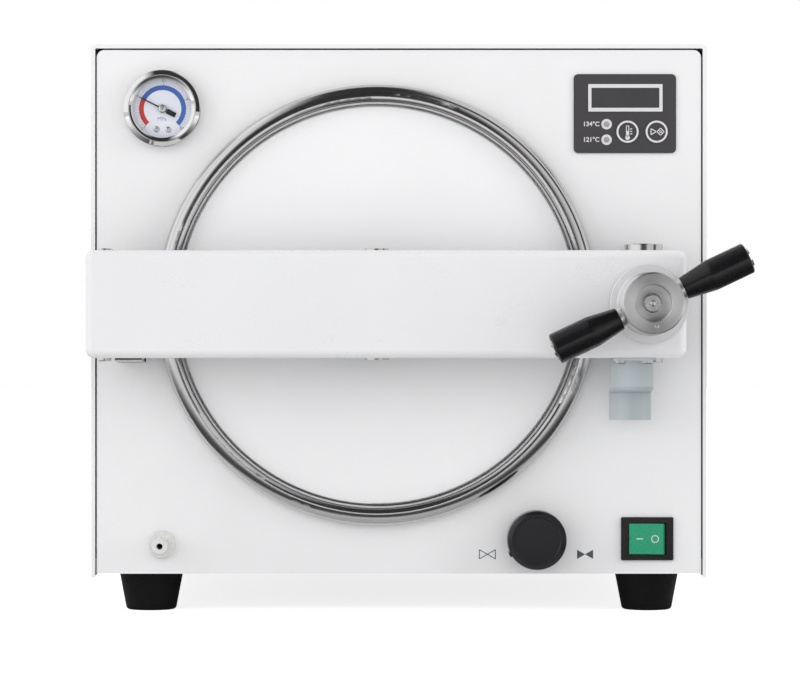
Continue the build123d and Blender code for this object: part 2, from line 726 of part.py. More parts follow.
def insulation_jacket():
    """The fibre blanket round the heater, pierced by the gauge's pipe and the steam pipe."""
    inner = SHELL_RADIUS + WELD_FIT + HEATER_THICKNESS + JACKET_FIT
    front = YOKE_BACK - JACKET_START
    back = SHELL_STRAIGHT_END + JACKET_END_MARGIN + CRADLE_SHEET + CRADLE_SETBACK
    jacket = shell_sleeve(inner, inner + JACKET_THICKNESS, front, back)
    jacket -= gauge_pipe(JACKET_FIT)
    return jacket - steam_pipe(JACKET_FIT)


def hinge_web_range():
    """The x of the hinge bracket's web, just right of the pin."""
    left = HINGE_X + KNUCKLE_ARM_HALF_WIDTH
    return left, left + HINGE_WEB_WIDTH


def hinge_bracket():
    """A foot on the yoke, a tall web behind the beam and a knuckle round the pin."""
    web_left, web_right = hinge_web_range()
    arm = (HINGE_X - KNUCKLE_ARM_HALF_WIDTH, HINGE_X + KNUCKLE_ARM_HALF_WIDTH)
    knuckle_z = (DOOR_Z - KNUCKLE_HALF_HEIGHT, DOOR_Z + KNUCKLE_HALF_HEIGHT)
    foot_z = (DOOR_Z - BRACKET_FOOT_HALF_HEIGHT, DOOR_Z + BRACKET_FOOT_HALF_HEIGHT)
    bracket = block((arm[0], web_right), (ahead(FLANGE_BACK), ahead(BRACKET_FOOT_FRONT)), foot_z)
    web = block(
        (web_left, web_right),
        (ahead(BRACKET_FOOT_FRONT), ahead(HINGE_WEB_AHEAD)),
        (DOOR_Z - HINGE_WEB_BELOW, DOOR_Z + HINGE_WEB_ABOVE),
    )
    front_edges = web.edges().filter_by(Axis.X).group_by(Axis.Y)[0]
    bracket += fillet(front_edges, BRACKET_FOOT)
    bracket += block(arm, (ahead(BRACKET_FOOT_FRONT), ahead(BEAM_MIDDLE)), knuckle_z)
    bracket += post(HINGE_X, ahead(BEAM_MIDDLE), KNUCKLE_RADIUS, *knuckle_z)
    return bracket - post(HINGE_X, ahead(BEAM_MIDDLE), PIN_RADIUS + PIN_FIT, *knuckle_z)


def hinge_pin():
    """The bright pin, headed at the top, proud of the beam at both ends."""
    pin = post(HINGE_X, ahead(BEAM_MIDDLE), PIN_RADIUS, BEAM_BOTTOM - PIN_PROUD, BEAM_TOP + PIN_HEAD / 2)
    head = post(HINGE_X, ahead(BEAM_MIDDLE), PIN_HEAD_RADIUS, BEAM_TOP, BEAM_TOP + PIN_HEAD)
    tip = pin.edges().group_by(Axis.Z)[0]
    return chamfer(tip, PIN_PROUD / 4) + chamfer(head.edges().group_by(Axis.Z)[-1], PIN_HEAD / 3)


def ear_ranges():
    """The heights of the latch bracket's two ears."""
    return [(DOOR_Z - EAR_OUTER, DOOR_Z - EAR_INNER), (DOOR_Z + EAR_INNER, DOOR_Z + EAR_OUTER)]


def latch_bracket():
    """A foot on the yoke with two bored ears for the pivoting nut."""
    foot_z = (DOOR_Z - BRACKET_FOOT_HALF_HEIGHT, DOOR_Z + BRACKET_FOOT_HALF_HEIGHT)
    across = (SCREW_X - EAR_RADIUS, SCREW_X + EAR_RADIUS)
    bracket = block(across, (ahead(FLANGE_BACK), ahead(BRACKET_FOOT_FRONT)), foot_z)
    for heights in ear_ranges():
        bracket += block(across, (ahead(BRACKET_FOOT_FRONT), ahead(TRUNNION_AHEAD)), heights)
        bracket += post(SCREW_X, ahead(TRUNNION_AHEAD), EAR_RADIUS, *heights)
        bracket -= post(SCREW_X, ahead(TRUNNION_AHEAD), TRUNNION_RADIUS + PIN_FIT, *heights)
    return bracket


def clip_ranges():
    """The heights of the two clips, outside the ears."""
    low, high = DOOR_Z - EAR_OUTER, DOOR_Z + EAR_OUTER
    return [(low - CLIP_THICKNESS, low), (high, high + CLIP_THICKNESS)]


def latch_trunnion():
    """The upright cylinder that pivots in the ears; the clamp screw enters it through a guide cone."""
    y = ahead(TRUNNION_AHEAD)
    bottom = BEAM_BOTTOM - TRUNNION_PROUD_BELOW
    cylinder = post(SCREW_X, y, TRUNNION_RADIUS, bottom, BEAM_TOP + TRUNNION_PROUD_ABOVE)
    ends = cylinder.edges().filter_by(GeomType.CIRCLE)
    cylinder = chamfer(ends, TRUNNION_CHAMFER)
    for heights in clip_ranges():
        groove = Circle(TRUNNION_RADIUS) - Circle(TRUNNION_RADIUS - CLIP_GROOVE)
        cylinder -= layered(Pos(SCREW_X, y) * groove, *heights)
    mouth = TRUNNION_AHEAD + TRUNNION_RADIUS
    bore = SCREW_RADIUS + TRUNNION_BORE_FIT
    hole = section(
        (0, TRUNNION_AHEAD - TRUNNION_RADIUS),
        (bore, TRUNNION_AHEAD - TRUNNION_RADIUS),
        (bore, TRUNNION_AHEAD),
        (TRUNNION_MOUTH_RADIUS, mouth),
        (0, mouth),
    )
    return cylinder - turned(hole, SCREW_X, DOOR_Z)


def trunnion_clips():
    """Two retaining rings in the cylinder's grooves."""
    inner = TRUNNION_RADIUS - CLIP_GROOVE
    ring = Circle(TRUNNION_RADIUS + CLIP_RIM) - Circle(inner)
    place = Pos(SCREW_X, ahead(TRUNNION_AHEAD))
    return [layered(place * ring, *heights) for heights in clip_ranges()]


def beam_rib_places():
    """The x of the upright ribs inside the beam."""
    eye = LID_EYE_RADIUS + BEAM_WALL
    left = (HINGE_X + HINGE_BARREL_RADIUS + DOOR_X - eye) / 2
    right = (DOOR_X + eye + SCREW_X - BOSS_RADIUS) / 2
    return [left, DOOR_X - eye, DOOR_X + eye, right, SCREW_X - BOSS_RADIUS - BEAM_RIB]


def door_beam():
    """A cast beam, open at the back, with ribs, hinge barrels, lid pin bosses and the clamp's boss."""
    length = BEAM_RIGHT - BEAM_LEFT
    centre = ((BEAM_LEFT + BEAM_RIGHT) / 2, DOOR_Z)
    outline = rectangle(centre, (length, 2 * BEAM_HALF_HEIGHT), BEAM_CORNER_RADIUS)
    hollow_size = (length - 2 * BEAM_WALL, 2 * (BEAM_HALF_HEIGHT - BEAM_WALL))
    hollow = rectangle(centre, hollow_size, BEAM_CORNER_RADIUS - BEAM_WALL)
    beam = upright(outline, BEAM_FRONT, BEAM_BACK)
    beam = fillet(beam.faces().sort_by(Axis.Y)[0].edges(), BEAM_EDGE_RADIUS)
    web_ahead = BEAM_FRONT - BEAM_WALL
    beam -= upright(hollow, web_ahead, BEAM_BACK)
    for x in beam_rib_places():
        beam += block(
            (x - BEAM_RIB / 2, x + BEAM_RIB / 2),
            (ahead(BEAM_BACK + BEAM_RIB), ahead(web_ahead)),
            (BEAM_BOTTOM + BEAM_WALL, BEAM_TOP - BEAM_WALL),
        )
    beam += rod(SCREW_X, DOOR_Z, BOSS_RADIUS, web_ahead, BEAM_FRONT - BOSS_LENGTH)
    beam += block(
        (SCREW_X, BEAM_RIGHT - BEAM_WALL),
        (ahead(BEAM_FRONT - BOSS_LENGTH + BEAM_RIB), ahead(web_ahead)),
        (DOOR_Z - BEAM_RIB / 2, DOOR_Z + BEAM_RIB / 2),
    )
    knuckle_clear = KNUCKLE_HALF_HEIGHT + KNUCKLE_GAP
    inside_top = BEAM_HALF_HEIGHT - BEAM_WALL
    for low, high in ((knuckle_clear, inside_top), (-inside_top, -knuckle_clear)):
        beam += post(HINGE_X, ahead(BEAM_MIDDLE), HINGE_BARREL_RADIUS, DOOR_Z + low, DOOR_Z + high)
    eye_clear = LID_EYE_HALF_HEIGHT + KNUCKLE_GAP
    for low, high in ((eye_clear, inside_top), (-inside_top, -eye_clear)):
        beam += post(DOOR_X, ahead(LID_PIN_AHEAD), LID_EYE_RADIUS, DOOR_Z + low, DOOR_Z + high)
    beam += block(
        (stop_x_range()[0], stop_x_range()[1]),
        (ahead(BEAM_BACK), ahead(web_ahead)),
        (BEAM_BOTTOM + BEAM_WALL, BEAM_BOTTOM + STOP_SCREW_GRIP + BEAM_RIB),
    )
    beam -= block(
        (BEAM_LEFT, HINGE_X),
        (ahead(BEAM_BACK), ahead(web_ahead)),
        (DOOR_Z - knuckle_clear, DOOR_Z + knuckle_clear),
    )
    beam -= post(HINGE_X, ahead(BEAM_MIDDLE), PIN_RADIUS + PIN_FIT, BEAM_BOTTOM, BEAM_TOP)
    beam -= post(DOOR_X, ahead(LID_PIN_AHEAD), LID_PIN_RADIUS + PIN_FIT, BEAM_BOTTOM, BEAM_TOP)
    beam -= rod(SCREW_X, DOOR_Z, SCREW_RADIUS + SCREW_FIT, BEAM_FRONT, BEAM_BACK)
    for x in stop_screw_places():
        hole_top = BEAM_BOTTOM + STOP_SCREW_GRIP
        beam -= post(x, stop_screw_y(), STOP_SCREW_RADIUS + PIN_FIT, BEAM_BOTTOM, hole_top)
    return beam


def lid_plate():
    """The round white plate inside the ring."""
    outline = section(
        (0, LID_FRONT),
        (LID_RADIUS, LID_FRONT, LID_EDGE_ROUND),
        (LID_RADIUS, LID_FRONT - LID_PLATE),
        (0, LID_FRONT - LID_PLATE),
    )
    return turned(outline, DOOR_X, DOOR_Z)


def dish_outline(shrink):
    """The dish's section, or its hollow when shrunk by the sheet."""
    radius = DISH_RADIUS - shrink
    bottom = DISH_AHEAD + shrink
    top = LID_FRONT - LID_PLATE
    return section((0, top), (radius, top), (radius, bottom, DISH_ROUND - shrink), (0, bottom))


def lid_dish():
    """The pressed dish on the lid's inner side."""
    dish = turned(dish_outline(0), DOOR_X, DOOR_Z)
    return dish - turned(dish_outline(DISH_SHEET), DOOR_X, DOOR_Z)


def lid_gasket():
    """The silicone ring between the lid and the chamber's land."""
    inner = DISH_RADIUS + GASKET_FIT
    outline = section(
        (inner, LID_FRONT - LID_PLATE),
        (GASKET_RADIUS, LID_FRONT - LID_PLATE),
        (GASKET_RADIUS, LAND_AHEAD, GASKET_ROUND),
        (inner, LAND_AHEAD, GASKET_ROUND),
    )
    return turned(outline, DOOR_X, DOOR_Z)


def lid_boss():
    """The round flange on the lid with the eye that hangs on the lid's pin."""
    heights = (DOOR_Z - LID_EYE_HALF_HEIGHT, DOOR_Z + LID_EYE_HALF_HEIGHT)
    flange_front = LID_FRONT + LID_BOSS_FLANGE
    outline = section(
        (0, LID_FRONT),
        (LID_BOSS_RADIUS, LID_FRONT),
        (LID_BOSS_RADIUS, flange_front, 2),
        (0, flange_front),
    )
    boss = turned(outline, DOOR_X, DOOR_Z)
    across = (DOOR_X - LID_EYE_RADIUS, DOOR_X + LID_EYE_RADIUS)
    boss += block(across, (ahead(LID_FRONT), ahead(LID_PIN_AHEAD)), heights)
    boss += post(DOOR_X, ahead(LID_PIN_AHEAD), LID_EYE_RADIUS, *heights)
    return boss - post(DOOR_X, ahead(LID_PIN_AHEAD), LID_PIN_RADIUS + PIN_FIT, *heights)


def lid_pin():
    """The upright pin through the beam and the lid's eye, with a flat head above and below."""
    y = ahead(LID_PIN_AHEAD)
    pin = post(DOOR_X, y, LID_PIN_RADIUS, BEAM_BOTTOM, BEAM_TOP)
    pin += post(DOOR_X, y, LID_PIN_HEAD_RADIUS, BEAM_TOP, BEAM_TOP + LID_PIN_HEAD)
    return pin + post(DOOR_X, y, LID_PIN_HEAD_RADIUS, BEAM_BOTTOM - LID_PIN_HEAD, BEAM_BOTTOM)


def stop_x_range():
    """The stop plate's left and right edges."""
    centre = SCREW_X + STOP_OFFSET
    return centre - STOP_WIDTH / 2, centre + STOP_WIDTH / 2


def stop_screw_places():
    """The x of the two screws that hold the stop plate."""
    centre = SCREW_X + STOP_OFFSET
    return [centre - STOP_SCREW_SPACING / 2, centre + STOP_SCREW_SPACING / 2]


def stop_screw_y():
    """The y of those screws, half way along the plate's flange."""
    return ahead(STOP_BACK + STOP_SHEET + (STOP_FLANGE - STOP_SHEET) / 2)


def stop_plate():
    """One bent strip: a flange under the beam, a drop, a joggle back and a second drop."""
    upper_back = STOP_BACK
    lower_back = STOP_BACK - STOP_JOGGLE
    upper = -STOP_UPPER_DROP
    lower = upper - STOP_JOGGLE_DROP
    inner = STOP_BEND_RADIUS - STOP_SHEET
    outline = section(
        (upper_back + STOP_FLANGE, 0),
        (upper_back + STOP_FLANGE, -STOP_SHEET),
        (upper_back + STOP_SHEET, -STOP_SHEET, inner),
        (upper_back + STOP_SHEET, upper - STOP_SHEET, STOP_BEND_RADIUS),
        (lower_back + STOP_SHEET, lower - STOP_SHEET, inner),
        (lower_back + STOP_SHEET, -STOP_TOTAL_DROP),
        (lower_back, -STOP_TOTAL_DROP),
        (lower_back, lower, STOP_BEND_RADIUS),
        (upper_back, upper, inner),
        (upper_back, 0, STOP_BEND_RADIUS),
    )
    left, right = stop_x_range()
    plane = Plane(origin=(right, PANEL_Y, BEAM_BOTTOM), x_dir=(0, -1, 0), z_dir=(-1, 0, 0))
    plate = extrude(plane * outline, right - left)
    for x in stop_screw_places():
        hole = STOP_SCREW_RADIUS + SCREW_HOLE_FIT
        plate -= post(x, stop_screw_y(), hole, BEAM_BOTTOM - STOP_SHEET, BEAM_BOTTOM)
    return plate


def stop_plate_screws():
    """Two pan-head screws up into the beam."""
    seat = BEAM_BOTTOM - STOP_SHEET
    shank = post(0, 0, STOP_SCREW_RADIUS, seat, BEAM_BOTTOM + STOP_SCREW_GRIP)
    head = post(0, 0, STOP_SCREW_HEAD_RADIUS, seat - STOP_SCREW_HEAD, seat)
    screw = shank + fillet(head.edges().group_by(Axis.Z)[0], STOP_SCREW_HEAD / 2)
    return [Pos(x, stop_screw_y()) * screw for x in stop_screw_places()]


def screw_clip_front():
    """The clip's front face at rest: the screw's whole travel behind the beam's boss."""
    return BEAM_FRONT - BOSS_LENGTH - SCREW_TRAVEL - SCREW_FIT


def clamp_screw():
    """The clamp screw, from its chamfered nose to the end that shows in the hub's recess."""
    end = HUB_FRONT - HUB_RECESS_DEPTH + HUB_SCREW_PROUD
    clip_front = screw_clip_front()
    groove_radius = SCREW_RADIUS - CLIP_GROOVE
    outline = section(
        (0, SCREW_TIP),
        (SCREW_RADIUS - SCREW_NOSE, SCREW_TIP),
        (SCREW_RADIUS, SCREW_TIP + SCREW_NOSE),
        (SCREW_RADIUS, clip_front - CLIP_THICKNESS),
        (groove_radius, clip_front - CLIP_THICKNESS),
        (groove_radius, clip_front),
        (SCREW_RADIUS, clip_front),
        (SCREW_RADIUS, end - CLIP_GROOVE),
        (SCREW_RADIUS - CLIP_GROOVE, end),
        (CENTRE_DRILL_RADIUS, end),
        (0, end - CENTRE_DRILL_RADIUS),
    )
    return turned(outline, SCREW_X, DOOR_Z)


def screw_clip():
    """The ring that keeps the unscrewed clamp screw in the beam."""
    ring = Circle(SCREW_CLIP_RADIUS) - Circle(SCREW_RADIUS - CLIP_GROOVE)
    front = screw_clip_front()
    return upright(Pos(SCREW_X, DOOR_Z) * ring, front, front - CLIP_THICKNESS)


def thrust_washer():
    """The washer between the hub and the beam."""
    ring = Circle(WASHER_RADIUS) - Circle(SCREW_RADIUS + SCREW_FIT)
    return upright(Pos(SCREW_X, DOOR_Z) * ring, HUB_BACK, BEAM_FRONT)


def along_grip(shape, turn):
    """Places a shape turned about Z on the handle's crossbar, to the right or turned half round."""
    place = Pos(SCREW_X, ahead(GRIP_AHEAD), DOOR_Z)
    return place * Rot(0, 90 - GRIP_ANGLE + turn, 0) * shape


def handle_hub():
    """The turned aluminium hub, with its flange, front recess and two bores for the spindles."""
    outline = section(
        (SCREW_RADIUS + PIN_FIT, HUB_BACK),
        (HUB_FLANGE_RADIUS, HUB_BACK, HUB_EDGE_RADIUS / 2),
        (HUB_FLANGE_RADIUS, HUB_FACE, HUB_EDGE_RADIUS / 2),
        (HUB_RADIUS, HUB_FACE, HUB_EDGE_RADIUS),
        (HUB_RADIUS, HUB_FRONT, HUB_EDGE_RADIUS),
        (HUB_RECESS_RADIUS, HUB_FRONT, HUB_EDGE_RADIUS / 2),
        (HUB_RECESS_RADIUS, HUB_FRONT - HUB_RECESS_DEPTH),
        (SCREW_RADIUS + PIN_FIT, HUB_FRONT - HUB_RECESS_DEPTH),
    )
    hub = turned(outline, SCREW_X, DOOR_Z)
    bore = post(0, 0, SPINDLE_RADIUS + PIN_FIT, SPINDLE_DEPTH, HUB_RADIUS + HUB_EDGE_RADIUS)
    for turn in (0, 180):
        hub -= along_grip(bore, turn)
    return hub


def grip_spindles():
    """Two spindles in the hub, each with a collar and a slotted head, on which the grips revolve."""
    grip_end = GRIP_START + GRIP_LENGTH
    head_top = grip_end + SPINDLE_HEAD_PROUD
    head_seat = head_top - SPINDLE_HEAD
    spindle = post(0, 0, SPINDLE_RADIUS, SPINDLE_DEPTH, head_seat)
    spindle += post(0, 0, SPINDLE_COLLAR_RADIUS, HUB_RADIUS + PIN_FIT, GRIP_START - GRIP_FIT)
    spindle += post(0, 0, SPINDLE_HEAD_RADIUS, head_seat, head_top)
    spindle -= block(
        (-SPINDLE_SLOT / 2, SPINDLE_SLOT / 2),
        (-SPINDLE_HEAD_RADIUS, SPINDLE_HEAD_RADIUS),
        (head_top - SPINDLE_SLOT_DEPTH, head_top),
    )
    return [along_grip(spindle, turn) for turn in (0, 180)]


def grip(turn):
    """A revolving grip: tapered from the hub, then parallel, with a pocket in its end round the head."""
    start, end = GRIP_START, GRIP_START + GRIP_LENGTH
    head_seat = end + SPINDLE_HEAD_PROUD - SPINDLE_HEAD - GRIP_FIT
    bore = SPINDLE_RADIUS + GRIP_FIT
    outline = section(
        (bore, start),
        (GRIP_NECK_RADIUS, start, GRIP_END_ROUND / 2),
        (GRIP_RADIUS, start + GRIP_TAPER_LENGTH, GRIP_TAPER_ROUND),
        (GRIP_RADIUS, end, GRIP_END_ROUND),
        (GRIP_POCKET_RADIUS, end),
        (GRIP_POCKET_RADIUS, head_seat),
        (bore, head_seat),
    )
    return along_grip(revolve(Plane.XZ * outline, Axis.Z), turn)


def gauge_case():
    """The gauge's plated bezel and case in one, hollow, with a stub for its pipe."""
    rim = GAUGE_BEZEL_RADIUS
    inside = GAUGE_CASE_RADIUS - GAUGE_WALL
    lip = GAUGE_WINDOW_RADIUS
    outline = section(
        (0, -GAUGE_CASE_DEPTH),
        (GAUGE_CASE_RADIUS, -GAUGE_CASE_DEPTH, GAUGE_WALL),
        (GAUGE_CASE_RADIUS, 0),
        (rim, 0),
        (rim, GAUGE_RIM_HEIGHT, GAUGE_WALL),
        (GAUGE_CREST_RADIUS, GAUGE_BEZEL_HEIGHT, GAUGE_WALL / 2),
        (lip, GAUGE_LIP_HEIGHT),
        (lip, GAUGE_GLASS_AHEAD + GAUGE_GLASS),
        (inside, GAUGE_GLASS_AHEAD + GAUGE_GLASS),
        (inside, -GAUGE_CASE_DEPTH + GAUGE_WALL),
        (0, -GAUGE_CASE_DEPTH + GAUGE_WALL),
    )
    return turned(outline, GAUGE_X, UNDERSIDE + GAUGE_HEIGHT)


def gauge_disc(radius, front, back):
    """A flat disc in the gauge."""
    return rod(GAUGE_X, UNDERSIDE + GAUGE_HEIGHT, radius, front, back)


def gauge_dial():
    """The printed dial with the hole for the pointer's shaft."""
    radius = GAUGE_CASE_RADIUS - GAUGE_WALL - SHEET_FIT
    back = GAUGE_DIAL_AHEAD - GAUGE_DIAL_THICKNESS
    return gauge_disc(radius, GAUGE_DIAL_AHEAD, back) - gauge_disc(POINTER_LIFT, GAUGE_DIAL_AHEAD, back)


def gauge_glass():
    """The window, held behind the bezel's lip."""
    radius = GAUGE_CASE_RADIUS - GAUGE_WALL - SHEET_FIT
    return gauge_disc(radius, GAUGE_GLASS_AHEAD + GAUGE_GLASS, GAUGE_GLASS_AHEAD)


def gauge_pointer():
    """The pointer with its tail and its hub, on a short shaft through the dial."""
    back = GAUGE_DIAL_AHEAD + POINTER_LIFT
    front = back + POINTER_THICKNESS
    needle = section(
        (-POINTER_TAIL, -POINTER_TAIL_HALF_WIDTH),
        (-POINTER_TAIL_START, -POINTER_TAIL_HALF_WIDTH),
        (-POINTER_TAIL_START, -POINTER_ARM_HALF_WIDTH),
        (POINTER_LENGTH, -POINTER_TIP_HALF_WIDTH),
        (POINTER_LENGTH, POINTER_TIP_HALF_WIDTH),
        (-POINTER_TAIL_START, POINTER_ARM_HALF_WIDTH),
        (-POINTER_TAIL_START, POINTER_TAIL_HALF_WIDTH),
        (-POINTER_TAIL, POINTER_TAIL_HALF_WIDTH),
    )
    place = Pos(GAUGE_X, UNDERSIDE + GAUGE_HEIGHT)
    pointer = upright(place * Rot(0, 0, POINTER_ANGLE) * needle, front, back)
    pointer += gauge_disc(POINTER_HUB_RADIUS, front + POINTER_THICKNESS, back - PIN_FIT)
    shaft_back = GAUGE_DIAL_AHEAD - GAUGE_DIAL_THICKNESS
    return pointer + gauge_disc(POINTER_LIFT - PIN_FIT, back, shaft_back)


def gauge_pipe(growth=0.0):
    """The small pipe from the gauge's back, bent in towards the chamber's side."""
    gauge_z = UNDERSIDE + GAUGE_HEIGHT
    away = atan2(gauge_z - DOOR_Z, GAUGE_X - DOOR_X)
    landing = (DOOR_X + SHELL_RADIUS * cos(away), ahead(-GAUGE_PIPE_BACK), DOOR_Z + SHELL_RADIUS * sin(away))
    points = [
        (GAUGE_X, ahead(-GAUGE_CASE_DEPTH), gauge_z),
        (GAUGE_X, ahead(-GAUGE_PIPE_BACK), gauge_z),
        landing,
    ]
    tube = pipe(points, GAUGE_PIPE_BEND, GAUGE_PIPE_RADIUS + growth)
    return tube - rod(DOOR_X, DOOR_Z, SHELL_RADIUS, -GAUGE_CASE_DEPTH, -GAUGE_PIPE_BACK * 2)


def fascia_place(offset_x, offset_z):
    """A point on the fascia, from its centre."""
    return FASCIA_X + offset_x, FASCIA_Z + offset_z


def key_places():
    """The centres of the two keys."""
    return [fascia_place(offset, KEY_DROP) for offset in KEY_OFFSETS]


def lamp_places():
    """The centres of the two indicator lamps."""
    return [fascia_place(LAMP_OFFSET, drop) for drop in LAMP_DROPS]


def control_fascia():
    """The dark fascia, with openings for the window, the keys and the lamps."""
    plate = rectangle(fascia_place(0, 0), FASCIA_SIZE, FASCIA_CORNER_RADIUS)
    plate -= rectangle(fascia_place(*WINDOW_CENTRE), WINDOW_SIZE)
    for x, z in key_places():
        plate -= Pos(x, z) * Circle(KEY_RADIUS + KEY_FIT)
    for x, z in lamp_places():
        plate -= Pos(x, z) * Circle(LAMP_RADIUS)
    return upright(plate, FASCIA_THICKNESS, 0)


def display_window():
    """The window over the digits, slightly proud of the fascia."""
    pane = rectangle(fascia_place(*WINDOW_CENTRE), WINDOW_SIZE)
    return upright(pane, FASCIA_THICKNESS + WINDOW_PROUD, 0)


def indicator_lamps():
    """Two small lamps that look through the fascia, on stems from the board."""
    return [rod(x, z, LAMP_RADIUS, FASCIA_THICKNESS + LAMP_PROUD, -BOARD_BACK) for x, z in lamp_places()]


def key(place):
    """A round key with a stem towards the board."""
    x, z = place
    cap = rod(x, z, KEY_RADIUS, FASCIA_THICKNESS + KEY_PROUD, 0)
    front_edge = cap.edges().group_by(Axis.Y)[0]
    return fillet(front_edge, KEY_PROUD / 2) + rod(x, z, KEY_RADIUS / 3, 0, -BOARD_BACK / 2)


def control_board():
    """The circuit board behind the panel, with the display, two key switches and pillars."""
    centre = fascia_place(0, 0)
    front = -BOARD_BACK
    board = upright(rectangle(centre, BOARD_SIZE), front, front - BOARD_THICKNESS)
    display = rectangle(fascia_place(*WINDOW_CENTRE), (WINDOW_SIZE[0] - 4, WINDOW_SIZE[1] - 4))
    board += upright(display, -PANEL_SHEET, front)
    for x, z in key_places():
        switch_front = -BOARD_BACK / 2 - KEY_PROUD - KEY_FIT
        board += upright(rectangle((x, z), (6, 6)), switch_front, front)
    half_x = BOARD_SIZE[0] / 2 - BOARD_PILLAR_INSET + BOARD_PILLAR_RADIUS / 2
    half_z = BOARD_SIZE[1] / 2 - BOARD_PILLAR_INSET + BOARD_PILLAR_RADIUS / 2
    for side in (-1, 1):
        for end in (-1, 1):
            x, z = fascia_place(side * half_x, end * half_z)
            board += rod(x, z, BOARD_PILLAR_RADIUS, -PANEL_SHEET, front)
    return board


def switch_body():
    """The switch's frame on the panel and its body behind it, with the rocker's well and pivot."""
    centre = (SWITCH_X, UNDERSIDE + SWITCH_HEIGHT)
    frame = upright(rectangle(centre, SWITCH_FRAME, SWITCH_FRAME_CORNER), SWITCH_FRAME_HEIGHT, 0)
    frame = chamfer(frame.faces().sort_by(Axis.Y)[0].edges(), SWITCH_FRAME_HEIGHT / 4)
    frame += upright(rectangle(centre, SWITCH_BODY), 0, -SWITCH_BODY_DEPTH)
    frame -= upright(rectangle(centre, SWITCH_WELL), SWITCH_FRAME_HEIGHT, -SWITCH_WELL_DEPTH)
    half = SWITCH_WELL[1] / 2
    axle = post(SWITCH_X, ahead(ROCKER_PIVOT_AHEAD), ROCKER_AXLE_RADIUS, centre[1] - half, centre[1] + half)
    return frame + axle


def rocker():
    """The green rocker, shallow-peaked at its ends, tilted to its switched-on side."""
    half_x = SWITCH_WELL[0] / 2 - ROCKER_FIT
    half_z = SWITCH_WELL[1] / 2 - ROCKER_FIT
    middle_z = UNDERSIDE + SWITCH_HEIGHT
    end = ROCKER_END_AHEAD - ROCKER_PIVOT_AHEAD
    outline = section(
        (-half_x + ROCKER_END_TAPER, end, 0.6),
        (0, ROCKER_MIDDLE_AHEAD - ROCKER_PIVOT_AHEAD),
        (half_x - ROCKER_END_TAPER, end, 0.6),
        (half_x, end - ROCKER_SKIRT),
        (ROCKER_SKIRT, -ROCKER_SKIRT),
        (-ROCKER_SKIRT, -ROCKER_SKIRT),
        (-half_x, end - ROCKER_SKIRT),
    )
    outline -= Circle(ROCKER_AXLE_RADIUS + PIN_FIT)
    pivot = (SWITCH_X, ahead(ROCKER_PIVOT_AHEAD), middle_z + half_z)
    plane = Plane(origin=pivot, x_dir=(1, 0, 0), z_dir=(0, 0, -1))
    return extrude(plane * Rot(0, 0, ROCKER_TILT) * outline, 2 * half_z)


def steam_valve():
    """The valve's body behind the panel, with a threaded bush through it and two pipe ports."""
    valve_z = UNDERSIDE + VALVE_HEIGHT
    stem_bore = VALVE_STEM_RADIUS + SCREW_FIT
    body_front = -PANEL_SHEET
    outline = section(
        (stem_bore, VALVE_BUSH_AHEAD),
        (VALVE_BUSH_RADIUS, VALVE_BUSH_AHEAD),
        (VALVE_BUSH_RADIUS, body_front),
        (VALVE_BODY_RADIUS, body_front),
        (VALVE_BODY_RADIUS, body_front - VALVE_BODY_LENGTH, 2),
        (0, body_front - VALVE_BODY_LENGTH),
        (0, body_front - VALVE_BODY_LENGTH / 3),
        (stem_bore, body_front - VALVE_BODY_LENGTH / 3),
    )
    body = turned(outline, VALVE_X, valve_z)
    port_half = PIPE_RADIUS + 2
    port_left = VALVE_X - VALVE_BODY_RADIUS - port_half
    port = Pos(VALVE_X, ahead(-DRAIN_PIPE_BACK), valve_z) * Rot(0, -90, 0) * Cylinder(
        port_half, VALVE_X - port_left, align=(Align.CENTER, Align.CENTER, Align.MIN)
    )
    return body + port


def toothed(radius, depth, teeth):
    """A round outline with small pointed teeth."""
    step = tau / (2 * teeth)
    reach = [radius - depth * (index % 2) for index in range(2 * teeth)]
    points = [(r * cos(index * step), r * sin(index * step)) for index, r in enumerate(reach)]
    return make_face(Polyline(*points, close=True))


def valve_knob():
    """The knob with fine teeth round its rim, a shallow dished face and a small pointer, and its stem."""
    valve_z = UNDERSIDE + VALVE_HEIGHT
    back = KNOB_GAP
    front = back + KNOB_HEIGHT
    shoulder = front - KNOB_RING_STEP
    root = KNOB_RADIUS - KNOB_TOOTH_DEPTH
    outline = section(
        (0, back),
        (root - KNOB_BEVEL, back),
        (root, back + KNOB_BEVEL),
        (root, shoulder - KNOB_BEVEL),
        (KNOB_RING_RADIUS, shoulder),
        (KNOB_RING_RADIUS, front),
        (KNOB_DISH_RADIUS, front),
        (KNOB_DISH_RADIUS - KNOB_DISH_DEPTH, front - KNOB_DISH_DEPTH),
        (0, front - KNOB_DISH_DEPTH),
    )
    knob = turned(outline, VALVE_X, valve_z)
    teeth = Pos(VALVE_X, valve_z) * toothed(KNOB_RADIUS, KNOB_TOOTH_DEPTH, KNOB_TEETH)
    knob += upright(teeth, shoulder - KNOB_BEVEL, back + KNOB_BEVEL)
    nub_centre = KNOB_RADIUS + KNOB_POINTER_PROUD - KNOB_POINTER_DEPTH / 2
    nub = rectangle((nub_centre, 0), (KNOB_POINTER_DEPTH, KNOB_POINTER_WIDTH))
    nub_place = Pos(VALVE_X, valve_z) * Rot(0, 0, KNOB_POINTER_ANGLE)
    knob += upright(nub_place * nub, shoulder - KNOB_BEVEL, back + KNOB_BEVEL)
    stem_end = -PANEL_SHEET - VALVE_BODY_LENGTH / 3 + SCREW_HOLE_FIT
    return knob + rod(VALVE_X, valve_z, VALVE_STEM_RADIUS, back, stem_end)


